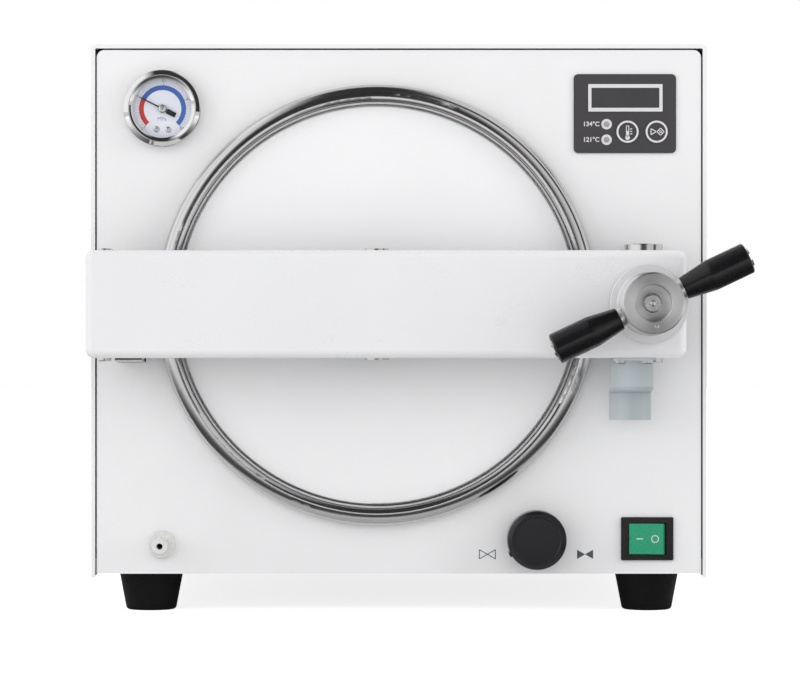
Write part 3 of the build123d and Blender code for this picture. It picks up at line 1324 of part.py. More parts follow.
def steam_pipe(growth=0.0):
    """The pipe from the chamber's underside to the valve's back."""
    valve_z = UNDERSIDE + VALVE_HEIGHT
    valve_back = -PANEL_SHEET - VALVE_BODY_LENGTH
    turn_back = valve_back - PIPE_BEHIND_VALVE
    points = [
        (VALVE_X, ahead(valve_back), valve_z),
        (VALVE_X, ahead(turn_back), valve_z),
        (DOOR_X, ahead(turn_back), valve_z),
        (DOOR_X, ahead(turn_back), DOOR_Z - SHELL_RADIUS),
    ]
    return pipe(points, PIPE_BEND, PIPE_RADIUS + growth)


def drain_pipe():
    """The pipe from the valve's side port across to the drain nozzle."""
    port_end = VALVE_X - VALVE_BODY_RADIUS - PIPE_RADIUS - 2
    nozzle_z = UNDERSIDE + NOZZLE_HEIGHT
    valve_z = UNDERSIDE + VALVE_HEIGHT
    points = [
        (port_end, ahead(-DRAIN_PIPE_BACK), valve_z),
        (NOZZLE_X + 2 * PIPE_BEND, ahead(-DRAIN_PIPE_BACK), valve_z),
        (NOZZLE_X, ahead(-DRAIN_PIPE_BACK), nozzle_z),
        (NOZZLE_X, ahead(-NOZZLE_TAIL), nozzle_z),
    ]
    return pipe(points, PIPE_BEND / 2, PIPE_RADIUS)


def drain_nozzle():
    """The small hose nozzle, with a collar on the panel and a barb at its end."""
    tip = NOZZLE_BASE + NOZZLE_LENGTH
    outline = section(
        (NOZZLE_BORE_RADIUS, -NOZZLE_TAIL),
        (NOZZLE_TAIL_RADIUS, -NOZZLE_TAIL),
        (NOZZLE_TAIL_RADIUS, 0),
        (NOZZLE_BASE_RADIUS, 0),
        (NOZZLE_BASE_RADIUS, NOZZLE_BASE, 1),
        (NOZZLE_NECK_RADIUS, NOZZLE_BASE),
        (NOZZLE_NECK_RADIUS, tip - NOZZLE_BASE),
        (NOZZLE_RADIUS, tip - NOZZLE_BASE),
        (NOZZLE_RADIUS, tip, 0.8),
        (NOZZLE_BORE_RADIUS, tip),
    )
    return turned(outline, NOZZLE_X, UNDERSIDE + NOZZLE_HEIGHT)


def safety_tip():
    """How far ahead the safety valve's outer end lies, behind the casing."""
    return -(CASE_DEPTH - 2 * PANEL_INSET) - SAFETY_VALVE_PROUD


def safety_valve():
    """The spring-loaded valve on the chamber's back, out through the rear panel."""
    root = LAND_AHEAD - CHAMBER_DEPTH - PORT_BOSS_LENGTH
    bore = SAFETY_STEM_RADIUS + SAFETY_BORE_FIT
    outline = section(
        (SAFETY_STEM_RADIUS, root),
        (SAFETY_VALVE_RADIUS, root),
        (SAFETY_VALVE_RADIUS, safety_tip(), 2),
        (bore, safety_tip()),
        (bore, safety_tip() + SAFETY_VALVE_PROUD),
        (SAFETY_STEM_RADIUS, safety_tip() + SAFETY_VALVE_PROUD),
    )
    return turned(outline, DOOR_X, DOOR_Z)


def safety_valve_pull():
    """The valve's stem with a wire ring to lift it by."""
    tip = safety_tip()
    stem_end = tip - 5
    stem = rod(DOOR_X, DOOR_Z, SAFETY_STEM_RADIUS, tip + SAFETY_VALVE_PROUD, stem_end)
    ring_centre = stem_end - SAFETY_RING_RADIUS + SAFETY_WIRE_RADIUS / 2
    place = Pos(DOOR_X, ahead(ring_centre), DOOR_Z) * Rot(0, 90, 0)
    return stem + place * Torus(SAFETY_RING_RADIUS, SAFETY_WIRE_RADIUS)


def power_inlet():
    """The mains inlet with its socket and the fuse drawer above it."""
    face = -(CASE_DEPTH - 2 * PANEL_INSET)
    centre = (INLET_X, UNDERSIDE + INLET_HEIGHT)
    outer = face - INLET_FLANGE_THICKNESS
    inlet = upright(rectangle(centre, INLET_FLANGE, 3), face, outer)
    inlet += upright(rectangle(centre, INLET_BODY), face + INLET_BODY_DEPTH, face)
    socket_z = centre[1] - INLET_FLANGE[1] / 2 + INLET_SOCKET[1] / 2 + INLET_SOCKET_RISE
    socket_face = rectangle((centre[0], socket_z), INLET_SOCKET, INLET_FLANGE_THICKNESS)
    inlet -= upright(socket_face, outer + INLET_SOCKET_DEPTH, outer)
    for side in (-1, 0, 1):
        pin_z = socket_z + INLET_PIN_STAGGER * (1 - 2 * abs(side))
        blade = rectangle((centre[0] + side * INLET_PIN_PITCH, pin_z), INLET_PIN_SIZE)
        inlet += upright(blade, outer + INLET_SOCKET_DEPTH, outer + INLET_PIN_SUNK)
    drawer_centre = (centre[0], centre[1] + INLET_FLANGE[1] / 2 - FUSE_DRAWER_DROP)
    drawer = rectangle(drawer_centre, FUSE_DRAWER_SIZE, FUSE_DRAWER_PROUD / 2)
    return inlet + upright(drawer, outer, outer - FUSE_DRAWER_PROUD)


def thermal_cutout():
    """The round cut-out clamped against the chamber's domed back."""
    dome = (CHAMBER_RADIUS**2 + DOME_RISE**2) / (2 * DOME_RISE)
    centre = LAND_AHEAD - CHAMBER_DEPTH + dome
    back = LAND_AHEAD - CHAMBER_DEPTH - CUTOUT_LENGTH
    button = rod(DOOR_X + CUTOUT_OFFSET, DOOR_Z, CUTOUT_RADIUS, back + CUTOUT_LENGTH + DOME_RISE, back)
    return button - Pos(DOOR_X, ahead(centre), DOOR_Z) * Sphere(dome + CHAMBER_WALL)


def transformer():
    """The control supply's transformer: a laminated core with one winding, on a strap foot."""
    floor = UNDERSIDE + BASE_SHEET
    core_bottom = floor + TRANSFORMER_FOOT[2]
    middle_z = core_bottom + TRANSFORMER_CORE[2] / 2
    middle = ahead(-TRANSFORMER_BACK)
    core = Pos(TRANSFORMER_X, middle, middle_z) * Box(*TRANSFORMER_CORE)
    coil = Pos(TRANSFORMER_X, middle, middle_z) * Box(*TRANSFORMER_COIL)
    coil = fillet(coil.edges().filter_by(Axis.Z), TRANSFORMER_LEG / 2)
    foot_middle = floor + TRANSFORMER_FOOT[2] / 2
    return core + coil + Pos(TRANSFORMER_X, middle, foot_middle) * Box(*TRANSFORMER_FOOT)


def tray_rack():
    """Two side plates with ledges for three trays, joined by straps along the chamber's floor."""
    front = LAND_AHEAD - RACK_START
    back = front - RACK_LENGTH
    bottom = DOOR_Z - sqrt((CHAMBER_RADIUS - RACK_WALL_GAP) ** 2 - RACK_HALF_WIDTH**2)
    rack = None
    for side in (-1, 1):
        inner = side * (RACK_HALF_WIDTH - RACK_SHEET)
        outer = side * RACK_HALF_WIDTH
        x_range = sorted((DOOR_X + inner, DOOR_X + outer))
        plate = block(x_range, (ahead(front), ahead(back)), (bottom, DOOR_Z + RACK_TOP))
        for height in LEDGE_HEIGHTS:
            ledge_x = sorted((DOOR_X + inner - side * LEDGE_WIDTH, DOOR_X + inner))
            ledge_z = (DOOR_Z + height - RACK_SHEET, DOOR_Z + height)
            plate += block(ledge_x, (ahead(front), ahead(back)), ledge_z)
        rack = plate if rack is None else rack + plate
    for strap_front in (front, back + RACK_STRAP):
        rack += block(
            (DOOR_X - RACK_HALF_WIDTH, DOOR_X + RACK_HALF_WIDTH),
            (ahead(strap_front), ahead(strap_front - RACK_STRAP)),
            (bottom, bottom + RACK_SHEET),
        )
    return rack


def tray(height):
    """An open tray with slots in its floor and a turned-out rim at the front."""
    half = RACK_HALF_WIDTH - RACK_SHEET - TRAY_SIDE_GAP
    front = LAND_AHEAD - RACK_START - TRAY_SETBACK
    back = LAND_AHEAD - RACK_START - RACK_LENGTH + TRAY_SETBACK
    floor = DOOR_Z + height
    shape = block((DOOR_X - half, DOOR_X + half), (ahead(front), ahead(back)), (floor, floor + TRAY_HEIGHT))
    shape -= block(
        (DOOR_X - half + TRAY_SHEET, DOOR_X + half - TRAY_SHEET),
        (ahead(front - TRAY_SHEET), ahead(back + TRAY_SHEET)),
        (floor + TRAY_SHEET, floor + TRAY_HEIGHT),
    )
    pitch_x = 2 * half / TRAY_SLOTS_ACROSS
    pitch_y = (front - back) / TRAY_SLOTS_ALONG
    for across in range(TRAY_SLOTS_ACROSS):
        for along in range(TRAY_SLOTS_ALONG):
            x = DOOR_X - half + (across + 0.5) * pitch_x
            y = ahead(front - (along + 0.5) * pitch_y)
            shape -= block(
                (x - pitch_x / 3, x + pitch_x / 3),
                (y - TRAY_SLOT_WIDTH / 2, y + TRAY_SLOT_WIDTH / 2),
                (floor, floor + TRAY_SHEET),
            )
    lip = block(
        (DOOR_X - half / 2, DOOR_X + half / 2),
        (ahead(front + TRAY_LIP), ahead(front)),
        (floor + TRAY_HEIGHT - TRAY_SHEET, floor + TRAY_HEIGHT),
    )
    return shape + lip


NODES = {
    "chassis_base": chassis_base(),
    "feet": feet(),
    "foot_screws": foot_screws(),
    "wrap_cover": wrap_cover(),
    "cover_screws": cover_screw_shapes(),
    "front_panel": front_panel(),
    "rear_panel": rear_panel(),
    "chamber_shell": chamber_shell(),
    "chamber_head": chamber_head(),
    "door_ring": door_ring(),
    "yoke_plate": yoke_plate(),
    "chamber_cradles": chamber_cradles(),
    "heater_band": heater_band(),
    "insulation_jacket": insulation_jacket(),
    "hinge_bracket": hinge_bracket(),
    "hinge_pin": hinge_pin(),
    "latch_bracket": latch_bracket(),
    "latch_trunnion": latch_trunnion(),
    "trunnion_clips": trunnion_clips(),
    "door_beam": door_beam(),
    "lid_plate": lid_plate(),
    "lid_dish": lid_dish(),
    "lid_gasket": lid_gasket(),
    "lid_boss": lid_boss(),
    "lid_pin": lid_pin(),
    "stop_plate": stop_plate(),
    "stop_plate_screws": stop_plate_screws(),
    "clamp_screw": clamp_screw(),
    "screw_clip": screw_clip(),
    "thrust_washer": thrust_washer(),
    "handle_hub": handle_hub(),
    "grip_spindles": grip_spindles(),
    "grip_right": grip(0),
    "grip_left": grip(180),
    "gauge_case": gauge_case(),
    "gauge_dial": gauge_dial(),
    "gauge_glass": gauge_glass(),
    "gauge_pointer": gauge_pointer(),
    "gauge_pipe": gauge_pipe(),
    "control_fascia": control_fascia(),
    "display_window": display_window(),
    "indicator_lamps": indicator_lamps(),
    "key_temperature": key(key_places()[0]),
    "key_start": key(key_places()[1]),
    "control_board": control_board(),
    "switch_body": switch_body(),
    "switch_rocker": rocker(),
    "steam_valve": steam_valve(),
    "valve_knob": valve_knob(),
    "steam_pipes": [steam_pipe(), drain_pipe()],
    "drain_nozzle": drain_nozzle(),
    "safety_valve": safety_valve(),
    "safety_valve_pull": safety_valve_pull(),
    "power_inlet": power_inlet(),
    "thermal_cutout": thermal_cutout(),
    "transformer": transformer(),
    "tray_rack": tray_rack(),
    "tray_lower": tray(LEDGE_HEIGHTS[0]),
    "tray_middle": tray(LEDGE_HEIGHTS[1]),
    "tray_upper": tray(LEDGE_HEIGHTS[2]),
}

os.makedirs("parts", exist_ok=True)
for name, shape in NODES.items():
    pieces = shape if isinstance(shape, list) else [shape]
    solids = [solid for piece in pieces for solid in piece.solids()]
    export_step(solids[0] if len(solids) == 1 else Compound(solids), f"parts/{name}.step")
print("clamp screw travel per turn of the hub:", SCREW_TRAVEL / 4, "mm; tip ahead of the panel:", SCREW_TIP)
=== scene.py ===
from math import cos, pi, radians, sin, tau

import bmesh
import bpy
import numpy as np
from mathutils import Matrix, Vector


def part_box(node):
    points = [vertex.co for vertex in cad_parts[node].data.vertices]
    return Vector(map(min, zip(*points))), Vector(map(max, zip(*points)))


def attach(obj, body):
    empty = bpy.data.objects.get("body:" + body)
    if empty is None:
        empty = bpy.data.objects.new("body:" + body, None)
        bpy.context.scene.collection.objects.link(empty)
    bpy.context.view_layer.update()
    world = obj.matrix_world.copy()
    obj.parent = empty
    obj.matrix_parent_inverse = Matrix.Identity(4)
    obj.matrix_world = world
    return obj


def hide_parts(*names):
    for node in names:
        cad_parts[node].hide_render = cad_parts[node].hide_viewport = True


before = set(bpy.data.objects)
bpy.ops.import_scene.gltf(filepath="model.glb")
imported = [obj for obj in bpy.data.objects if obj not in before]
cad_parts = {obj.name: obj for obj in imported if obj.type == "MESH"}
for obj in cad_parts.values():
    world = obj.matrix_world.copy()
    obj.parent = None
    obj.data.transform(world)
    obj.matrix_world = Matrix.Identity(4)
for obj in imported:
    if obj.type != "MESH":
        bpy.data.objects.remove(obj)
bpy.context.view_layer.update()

bl_info = {
    "name": "Dental autoclave finish",
    "version": (1, 0, 0),
    "blender": (4, 5, 0),
    "location": "3D View > Sidebar > Autoclave",
    "description": "Finishes the packed autoclave: paint, metals, printing, threads and the studio round it",
    "category": "Object",
}

MM = 0.001
SHARP_ANGLE = radians(32)
WELD_DISTANCE = 1e-7
CAPITAL_SHARE = 0.7
MARK_RANGE = (0.15, 0.4)


def middle(node):
    """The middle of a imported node's box, as an array."""
    low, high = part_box(node)
    return (np.array(low) + np.array(high)) / 2


PANEL_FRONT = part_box("front_panel")[0].y
DIAL_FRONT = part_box("gauge_dial")[0].y
FASCIA_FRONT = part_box("control_fascia")[0].y
KEY_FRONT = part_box("key_start")[0].y
RING_CENTRE = middle("door_ring")
GAUGE_CENTRE = middle("gauge_case")
HUB_CENTRE = middle("handle_hub")
VALVE_CENTRE = middle("valve_knob")


# Sizes and colours


def colour_setting(name, description, default):
    """A colour to set in the panel."""
    return bpy.props.FloatVectorProperty(
        name=name, description=description, subtype="COLOR", default=default, min=0, max=1,
    )


def length_setting(name, description, default, low, high, precision=4):
    """A length to set in the panel, in metres."""
    return bpy.props.FloatProperty(
        name=name, description=description, default=default, min=low, max=high, unit="LENGTH",
        precision=precision,
    )


class AutoclavePaint(bpy.types.PropertyGroup):
    """Colours and textures of the painted sheet and castings."""

    casing: colour_setting("Casing", "Powder coat on cover and panels", (0.81, 0.81, 0.82))
    beam: colour_setting("Beam", "Enamel on the door beam", (0.77, 0.77, 0.785))
    # The lid gets a lighter white than the casing: painted light that offsets the shade the ring and the beam
    # throw on the recessed lid.
    lid: colour_setting("Lid", "Satin paint on the round lid", (0.86, 0.86, 0.87))
    grain: length_setting("Orange peel", "Size of the powder coat's ripples", 0.0011, 0.0002, 0.01)


class AutoclavePrint(bpy.types.PropertyGroup):
    """Sizes of what is printed on the dial, the fascia and the panel."""

    film: length_setting("Ink thickness", "Height of printed marks", 0.00008, 0.00002, 0.001, 5)
    vacuum_band: colour_setting("Vacuum band", "Dial band below zero", (0.62, 0.045, 0.04))
    pressure_band: colour_setting("Pressure band", "Dial band above zero", (0.055, 0.145, 0.50))
    dial_ink: colour_setting("Dial ink", "Graduations and numbers", (0.05, 0.05, 0.09))
    fascia_ink: colour_setting("Fascia ink", "White marks on the fascia", (0.70, 0.69, 0.71))


class AutoclaveMetal(bpy.types.PropertyGroup):
    """Thread and finish of the metal pieces."""

    thread_pitch: length_setting("Screw pitch", "Travel of the clamp screw in a turn", 0.003, 0.001, 0.006)
    thread_depth: length_setting("Thread depth", "From crest to root", 0.0007, 0.0001, 0.002)
    polish: bpy.props.FloatProperty(
        name="Ring polish", description="Roughness of the polished ring", default=0.13,
        min=0.02, max=0.6, subtype="FACTOR",
    )


class AutoclaveStudio(bpy.types.PropertyGroup):
    """Camera and light."""

    distance: length_setting("Camera distance", "From the front panel", 2.15, 0.5, 10)
    frame_width: length_setting("Frame width", "Width seen at the front panel", 0.520, 0.1, 3)
    height: length_setting("Camera height", "Above the bench", 0.1717, 0, 2)
    floor: colour_setting("Floor", "Colour of floor and backdrop", (0.84, 0.84, 0.84))
    lamp_power: bpy.props.FloatProperty(
        name="Lamps", description="Scale of all lamps", default=1.0, min=0, max=10, subtype="FACTOR",
    )


# Surfaces


def added(name, data):
    """A new object in the scene."""
    made = bpy.data.objects.new(name, data)
    bpy.context.scene.collection.objects.link(made)
    return made


def piece(name, points, faces, material, body, slot):
    """Makes a closed mesh from points and faces, turns its faces outwards, and hangs it on a body."""
    mesh = bpy.data.meshes.new(name)
    mesh.from_pydata(np.asarray(points, float).tolist(), [], [list(map(int, f)) for f in faces])
    work = bmesh.new()
    work.from_mesh(mesh)
    bmesh.ops.remove_doubles(work, verts=work.verts, dist=WELD_DISTANCE)
    bmesh.ops.recalc_face_normals(work, faces=work.faces)
    work.to_mesh(mesh)
    work.free()
    mesh.shade_smooth()
    mesh.set_sharp_from_angle(angle=SHARP_ANGLE)
    mesh.update()
    made = added(name, mesh)
    mesh.materials.append(material)
    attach(made, body)
    return made


def grid_faces(rows, columns, wrap_rows=False, wrap_columns=False):
    """Quads between neighbours of a grid, whose points are stored row after row."""
    last_row = rows if wrap_rows else rows - 1
    last_column = columns if wrap_columns else columns - 1
    i, j = np.meshgrid(np.arange(last_row), np.arange(last_column), indexing="ij")
    i, j = i.ravel(), j.ravel()
    a = i * columns + j
    b = i * columns + (j + 1) % columns
    c = ((i + 1) % rows) * columns + (j + 1) % columns
    d = ((i + 1) % rows) * columns + j
    return np.stack([a, b, c, d], axis=1).tolist()


def on_front(u, v, distance):
    """Points from across, up and a distance in front of y = 0, as rows of x, y, z."""
    return np.stack(np.broadcast_arrays(u, -distance, v), axis=-1)


def band(centre, inner, outer, start, end, back, front, steps):
    """A flat band round a centre: the rectangle (inner to outer) by (back to front), carried along an arc.
    A point is the centre plus radius times (cos, sin) of the angle, which runs from start to end."""
    whole = abs(end - start) >= tau - 1e-6
    angles = np.linspace(start, end, steps, endpoint=not whole)[:, None]
    radius = np.array([inner, outer, outer, inner])[None, :]
    depth = np.array([front, front, back, back])[None, :]
    points = on_front(centre[0] + radius * np.cos(angles), centre[1] + radius * np.sin(angles), depth)
    faces = grid_faces(steps, 4, wrap_rows=whole, wrap_columns=True)
    if not whole:
        faces += [[0, 1, 2, 3], [4 * steps - 4, 4 * steps - 3, 4 * steps - 2, 4 * steps - 1]]
    return points.reshape(-1, 3), faces


def plate(outline, back, front):
    """A flat plate: an outline's corners at the front, the same at the back, and walls between them."""
    outline = np.asarray(outline, float)
    count = len(outline)
    faces = grid_faces(2, count, wrap_columns=True) + [list(range(count)), list(range(count, 2 * count))]
    points = [on_front(outline[:, 0], outline[:, 1], np.full(count, d)) for d in (front, back)]
    return np.concatenate(points), faces


def stroke(start, end, width, back, front):
    """A straight bar between two points, as wide as asked."""
    start, end = np.asarray(start, float), np.asarray(end, float)
    along = (end - start) / np.linalg.norm(end - start)
    across = np.array([-along[1], along[0]]) * width / 2
    return plate([start - across, end - across, end + across, start + across], back, front)


def frame_outline(centre, size, corner, steps):
    """A rectangle with round corners: each corner's quarter circle in turn."""
    half = np.asarray(size) / 2 - corner
    angle = np.linspace(0, pi / 2, steps)
    quarter = np.arange(4)[:, None] * pi / 2 + angle[None, :]
    sign = np.array([[1, 1], [-1, 1], [-1, -1], [1, -1]])
    u = centre[0] + sign[:, :1] * half[0] + corner * np.cos(quarter)
    v = centre[1] + sign[:, 1:] * half[1] + corner * np.sin(quarter)
    return np.stack([u.ravel(), v.ravel()], axis=1)


def border(outer, inner, back, front):
    """A flat border between two outlines with as many points: a rectangle carried round them."""
    loops = [(outer, front), (inner, front), (inner, back), (outer, back)]
    points = np.stack([on_front(loop[:, 0], loop[:, 1], np.full(len(loop), d)) for loop, d in loops], axis=1)
    return points.reshape(-1, 3), grid_faces(len(outer), 4, wrap_rows=True, wrap_columns=True)


def joined(parts):
    """Several sets of points and faces as one."""
    points, faces, count = [], [], 0
    for some_points, some_faces in parts:
        points.append(some_points)
        faces += [[index + count for index in face] for face in some_faces]
        count += len(some_points)
    return np.concatenate(points), faces


def turned(profile, centre, steps):
    """A profile of (radius, ahead) revolved about the line through a centre that runs to the front, its ends
    at radius 0 closed. A point is the centre plus radius times (cos, sin) across and up, and ahead of it."""
    radius, ahead = np.asarray(profile, float).T
    angles = np.linspace(0, tau, steps, endpoint=False)[:, None]
    u, v = centre[0] + radius * np.cos(angles), centre[2] + radius * np.sin(angles)
    return on_front(u, v, ahead - centre[1]).reshape(-1, 3), grid_faces(steps, len(profile), wrap_rows=True)


def lettering(name, text, centre, height, back, thickness, material, body, weight=0.0):
    """Generic figures and units as a mesh: filled outlines, swollen by a weight, standing on the front."""
    curve = bpy.data.curves.new(name, "FONT")
    curve.body = text
    curve.size = height / CAPITAL_SHARE
    curve.extrude = thickness / 2
    curve.offset = weight
    curve.align_x = "CENTER"
    curve.align_y = "CENTER"
    curve.resolution_u = 4
    source = added(name + "_outline", curve)
    bpy.context.view_layer.update()
    mesh = bpy.data.meshes.new_from_object(source.evaluated_get(bpy.context.evaluated_depsgraph_get()))
    place = Matrix.Translation((centre[0], -(back + thickness / 2), centre[1]))
    mesh.transform(place @ Matrix.Rotation(radians(90), 4, "X"))
    bpy.data.objects.remove(source)
    mesh.name = name
    mesh.materials.clear()
    mesh.materials.append(material)
    made = added(name, mesh)
    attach(made, body)


# Shared effects


def feed(tree, value, target):
    """Gives an input a number, or links a socket to it."""
    if hasattr(value, "is_output"):
        tree.links.new(value, target)
    else:
        target.default_value = value


def math_node(tree, operation, first, second=None):
    """A maths node, with a number or a socket on each input."""
    node = tree.nodes.new("ShaderNodeMath")
    node.operation = operation
    for index, value in enumerate((first, second)):
        if value is not None:
            feed(tree, value, node.inputs[index])
    return node.outputs[0]


def effect(name, inputs, outputs):
    """Starts a node group with the given inputs and outputs, and returns it with its two end nodes."""
    tree = bpy.data.node_groups.new(name, "ShaderNodeTree")
    tree.interface.new_socket(name="Place", in_out="INPUT", socket_type="NodeSocketVector")
    for label, value in inputs.items():
        made = tree.interface.new_socket(name=label, in_out="INPUT", socket_type="NodeSocketFloat")
        made.default_value = value
    for label in outputs:
        tree.interface.new_socket(name=label, in_out="OUTPUT", socket_type="NodeSocketFloat")
    return tree, tree.nodes.new("NodeGroupInput"), tree.nodes.new("NodeGroupOutput")


def noise_at(tree, start, scale, detail):
    """Noise at the effect's place, with its scale from the group's input of that name."""
    noise = tree.nodes.new("ShaderNodeTexNoise")
    noise.inputs["Detail"].default_value = detail
    tree.links.new(start.outputs["Place"], noise.inputs["Vector"])
    tree.links.new(start.outputs[scale], noise.inputs["Scale"])
    return noise.outputs["Fac"]


def ripple_effect():
    """Fine ripples of powder coat, with a slow change of level across the sheet."""
    tree, start, end = effect("powder_ripple", {"Scale": 900, "Slow scale": 14}, ("Height", "Slow"))
    tree.links.new(noise_at(tree, start, "Scale", 2), end.inputs["Height"])
    tree.links.new(noise_at(tree, start, "Slow scale", 3), end.inputs["Slow"])
    return tree


def streak_effect():
    """Grinding lines: noise drawn out along one direction by the place's own stretch, plus long stains."""
    tree, start, end = effect("ground_streak", {"Scale": 900, "Stain scale": 40}, ("Height", "Stain"))
    tree.links.new(noise_at(tree, start, "Scale", 4), end.inputs["Height"])
    tree.links.new(noise_at(tree, start, "Stain scale", 5), end.inputs["Stain"])
    return tree


def lathe_effect():
    """Lathe marks: fine noise over the distance from the Y axis, with the place centred on the piece.
    The radius itself comes out too, for a finish that changes at a step."""
    tree, start, end = effect("lathe_mark", {"Scale": 3000}, ("Height", "Tone", "Radius"))
    split = tree.nodes.new("ShaderNodeSeparateXYZ")
    tree.links.new(start.outputs["Place"], split.inputs[0])
    across = math_node(tree, "MULTIPLY", split.outputs[0], split.outputs[0])
    up = math_node(tree, "MULTIPLY", split.outputs[2], split.outputs[2])
    radius = math_node(tree, "SQRT", math_node(tree, "ADD", across, up))
    tree.links.new(radius, end.inputs["Radius"])
    both = math_node(tree, "ADD", radius, split.outputs[1])
    for label, factor, detail in (("Height", 1.0, 3.0), ("Tone", 0.12, 2.0)):
        noise = tree.nodes.new("ShaderNodeTexNoise")
        noise.noise_dimensions = "1D"
        noise.inputs["Detail"].default_value = detail
        scaled = math_node(tree, "MULTIPLY", start.outputs["Scale"], factor)
        tree.links.new(math_node(tree, "MULTIPLY", both, scaled), noise.inputs["W"])
        noise.inputs["Scale"].default_value = 1.0
        tree.links.new(noise.outputs["Fac"], end.inputs[label])
    return tree


def handling_effect():
    """Dust and finger marks: soft patches broken up by a finer noise."""
    tree, start, end = effect("handling_mark", {"Patch scale": 35, "Speck scale": 700}, ("Mask",))
    patches = noise_at(tree, start, "Patch scale", 4)
    specks = noise_at(tree, start, "Speck scale", 6)
    tree.links.new(math_node(tree, "MULTIPLY", patches, specks), end.inputs["Mask"])
    return tree


# Finishes


def start_material(name, colour, roughness, metallic=0.0):
    """A Principled material with its constants on the shader's own sockets."""
    material = bpy.data.materials.new(name)
    material.use_nodes = True
    shader = material.node_tree.nodes["Principled BSDF"]
    shader.inputs["Base Color"].default_value = (*colour, 1.0)
    shader.inputs["Roughness"].default_value = roughness
    shader.inputs["Metallic"].default_value = metallic
    return material, material.node_tree, shader


def placed(tree, centre=(0, 0, 0), stretch=(1, 1, 1)):
    """Object coordinates, centred on a piece and stretched."""
    where = tree.nodes.new("ShaderNodeTexCoord")
    mapping = tree.nodes.new("ShaderNodeMapping")
    mapping.vector_type = "POINT"
    mapping.inputs["Location"].default_value = [-c * s for c, s in zip(centre, stretch)]
    mapping.inputs["Scale"].default_value = stretch
    tree.links.new(where.outputs["Object"], mapping.inputs["Vector"])
    return mapping.outputs["Vector"]


def use_effect(tree, group, place, **values):
    """Places a shared effect in a material with its own values."""
    node = tree.nodes.new("ShaderNodeGroup")
    node.node_tree = group
    tree.links.new(place, node.inputs["Place"])
    for label, value in values.items():
        node.inputs[label.replace("_", " ")].default_value = value
    return node


def ranged(tree, value, low, high, start=0.3, end=0.7):
    """A value carried from start-to-end onto low-to-high."""
    node = tree.nodes.new("ShaderNodeMapRange")
    for index, number in enumerate((start, end, low, high)):
        node.inputs[index + 1].default_value = number
    tree.links.new(value, node.inputs[0])
    return node.outputs[0]


def toned(tree, value, dark, light, start=0.3, end=0.7):
    """A colour between dark and light by a value."""
    node = tree.nodes.new("ShaderNodeMix")
    node.data_type = "RGBA"
    tree.links.new(ranged(tree, value, 0, 1, start, end), node.inputs[0])
    node.inputs[6].default_value = (*dark, 1)
    node.inputs[7].default_value = (*light, 1)
    return node.outputs[2]


def bump(tree, shader, height, distance):
    """Feeds a height to the shader's normal."""
    node = tree.nodes.new("ShaderNodeBump")
    node.inputs["Distance"].default_value = distance
    node.inputs["Strength"].default_value = 1.0
    tree.links.new(height, node.inputs["Height"])
    tree.links.new(node.outputs["Normal"], shader.inputs["Normal"])


def shade(colour, factor):
    """A colour made darker or lighter."""
    return tuple(min(1.0, c * factor) for c in colour)


def tint(tree, shader, value, dark, light, start=0.3, end=0.7):
    """Feeds the base colour with a tone between dark and light by a value."""
    tree.links.new(toned(tree, value, dark, light, start, end), shader.inputs["Base Color"])


def worn(tree, shader, marks, low, high):
    """Feeds the roughness from a handling mask, between a low and a high value."""
    tree.links.new(ranged(tree, marks.outputs["Mask"], low, high, *MARK_RANGE), shader.inputs["Roughness"])


def painted(name, colour, roughness, scale, depth, coat=0.0):
    """Sprayed or baked paint: fine ripples, a slow change of tone and patches of handling."""
    material, tree, shader = start_material(name, colour, roughness)
    shader.inputs["Coat Weight"].default_value = coat
    shader.inputs["Coat Roughness"].default_value = 0.08
    place = placed(tree)
    ripple = use_effect(tree, EFFECTS["ripple"], place, Scale=scale)
    marks = use_effect(tree, EFFECTS["handling"], place)
    tint(tree, shader, ripple.outputs["Slow"], shade(colour, 0.975), colour)
    worn(tree, shader, marks, roughness * 0.9, roughness * 1.2)
    bump(tree, shader, ripple.outputs["Height"], depth)
    return material


def ground(name, colour, roughness, stretch=(1, 1, 1), scale=900.0, depth=0.00002, stain=0.85, metallic=1.0):
    """Ground or brushed metal: lines along the stretch's small axis and faint stains."""
    material, tree, shader = start_material(name, colour, roughness, metallic)
    lines = use_effect(tree, EFFECTS["streak"], placed(tree, stretch=stretch), Scale=scale)
    marks = use_effect(tree, EFFECTS["handling"], placed(tree))
    tint(tree, shader, lines.outputs["Stain"], shade(colour, stain), colour)
    worn(tree, shader, marks, roughness * 0.8, roughness * 1.35)
    bump(tree, shader, lines.outputs["Height"], depth)
    return material


def lathed(name, colour, roughness, centre, scale=3000.0, depth=0.00002, dark=0.8, fan=0.0, blasted=None):
    """Turned metal: rings round the Y axis through the centre, with a little change of tone. The fan is how
    far its grooves spread the light across them. Beyond the radius where it is blasted it scatters light."""
    material, tree, shader = start_material(name, colour, roughness, 1.0)
    rings = use_effect(tree, EFFECTS["lathe"], placed(tree, centre), Scale=scale)
    marks = use_effect(tree, EFFECTS["handling"], placed(tree))
    tint(tree, shader, rings.outputs["Tone"], shade(colour, dark), colour)
    worn(tree, shader, marks, roughness * 0.85, roughness * 1.3)
    shader.inputs["Anisotropic"].default_value = fan
    shader.inputs["Anisotropic Rotation"].default_value = 0.25
    if fan:
        groove = tree.nodes.new("ShaderNodeTangent")
        groove.direction_type = "RADIAL"
        groove.axis = "Y"
        tree.links.new(groove.outputs["Tangent"], shader.inputs["Tangent"])
    if blasted:
        satin = ranged(tree, rings.outputs["Radius"], 1.0, 0.3, blasted - 0.4 * MM, blasted)
        tree.links.new(satin, shader.inputs["Metallic"])
    bump(tree, shader, rings.outputs["Height"], depth)
    return material


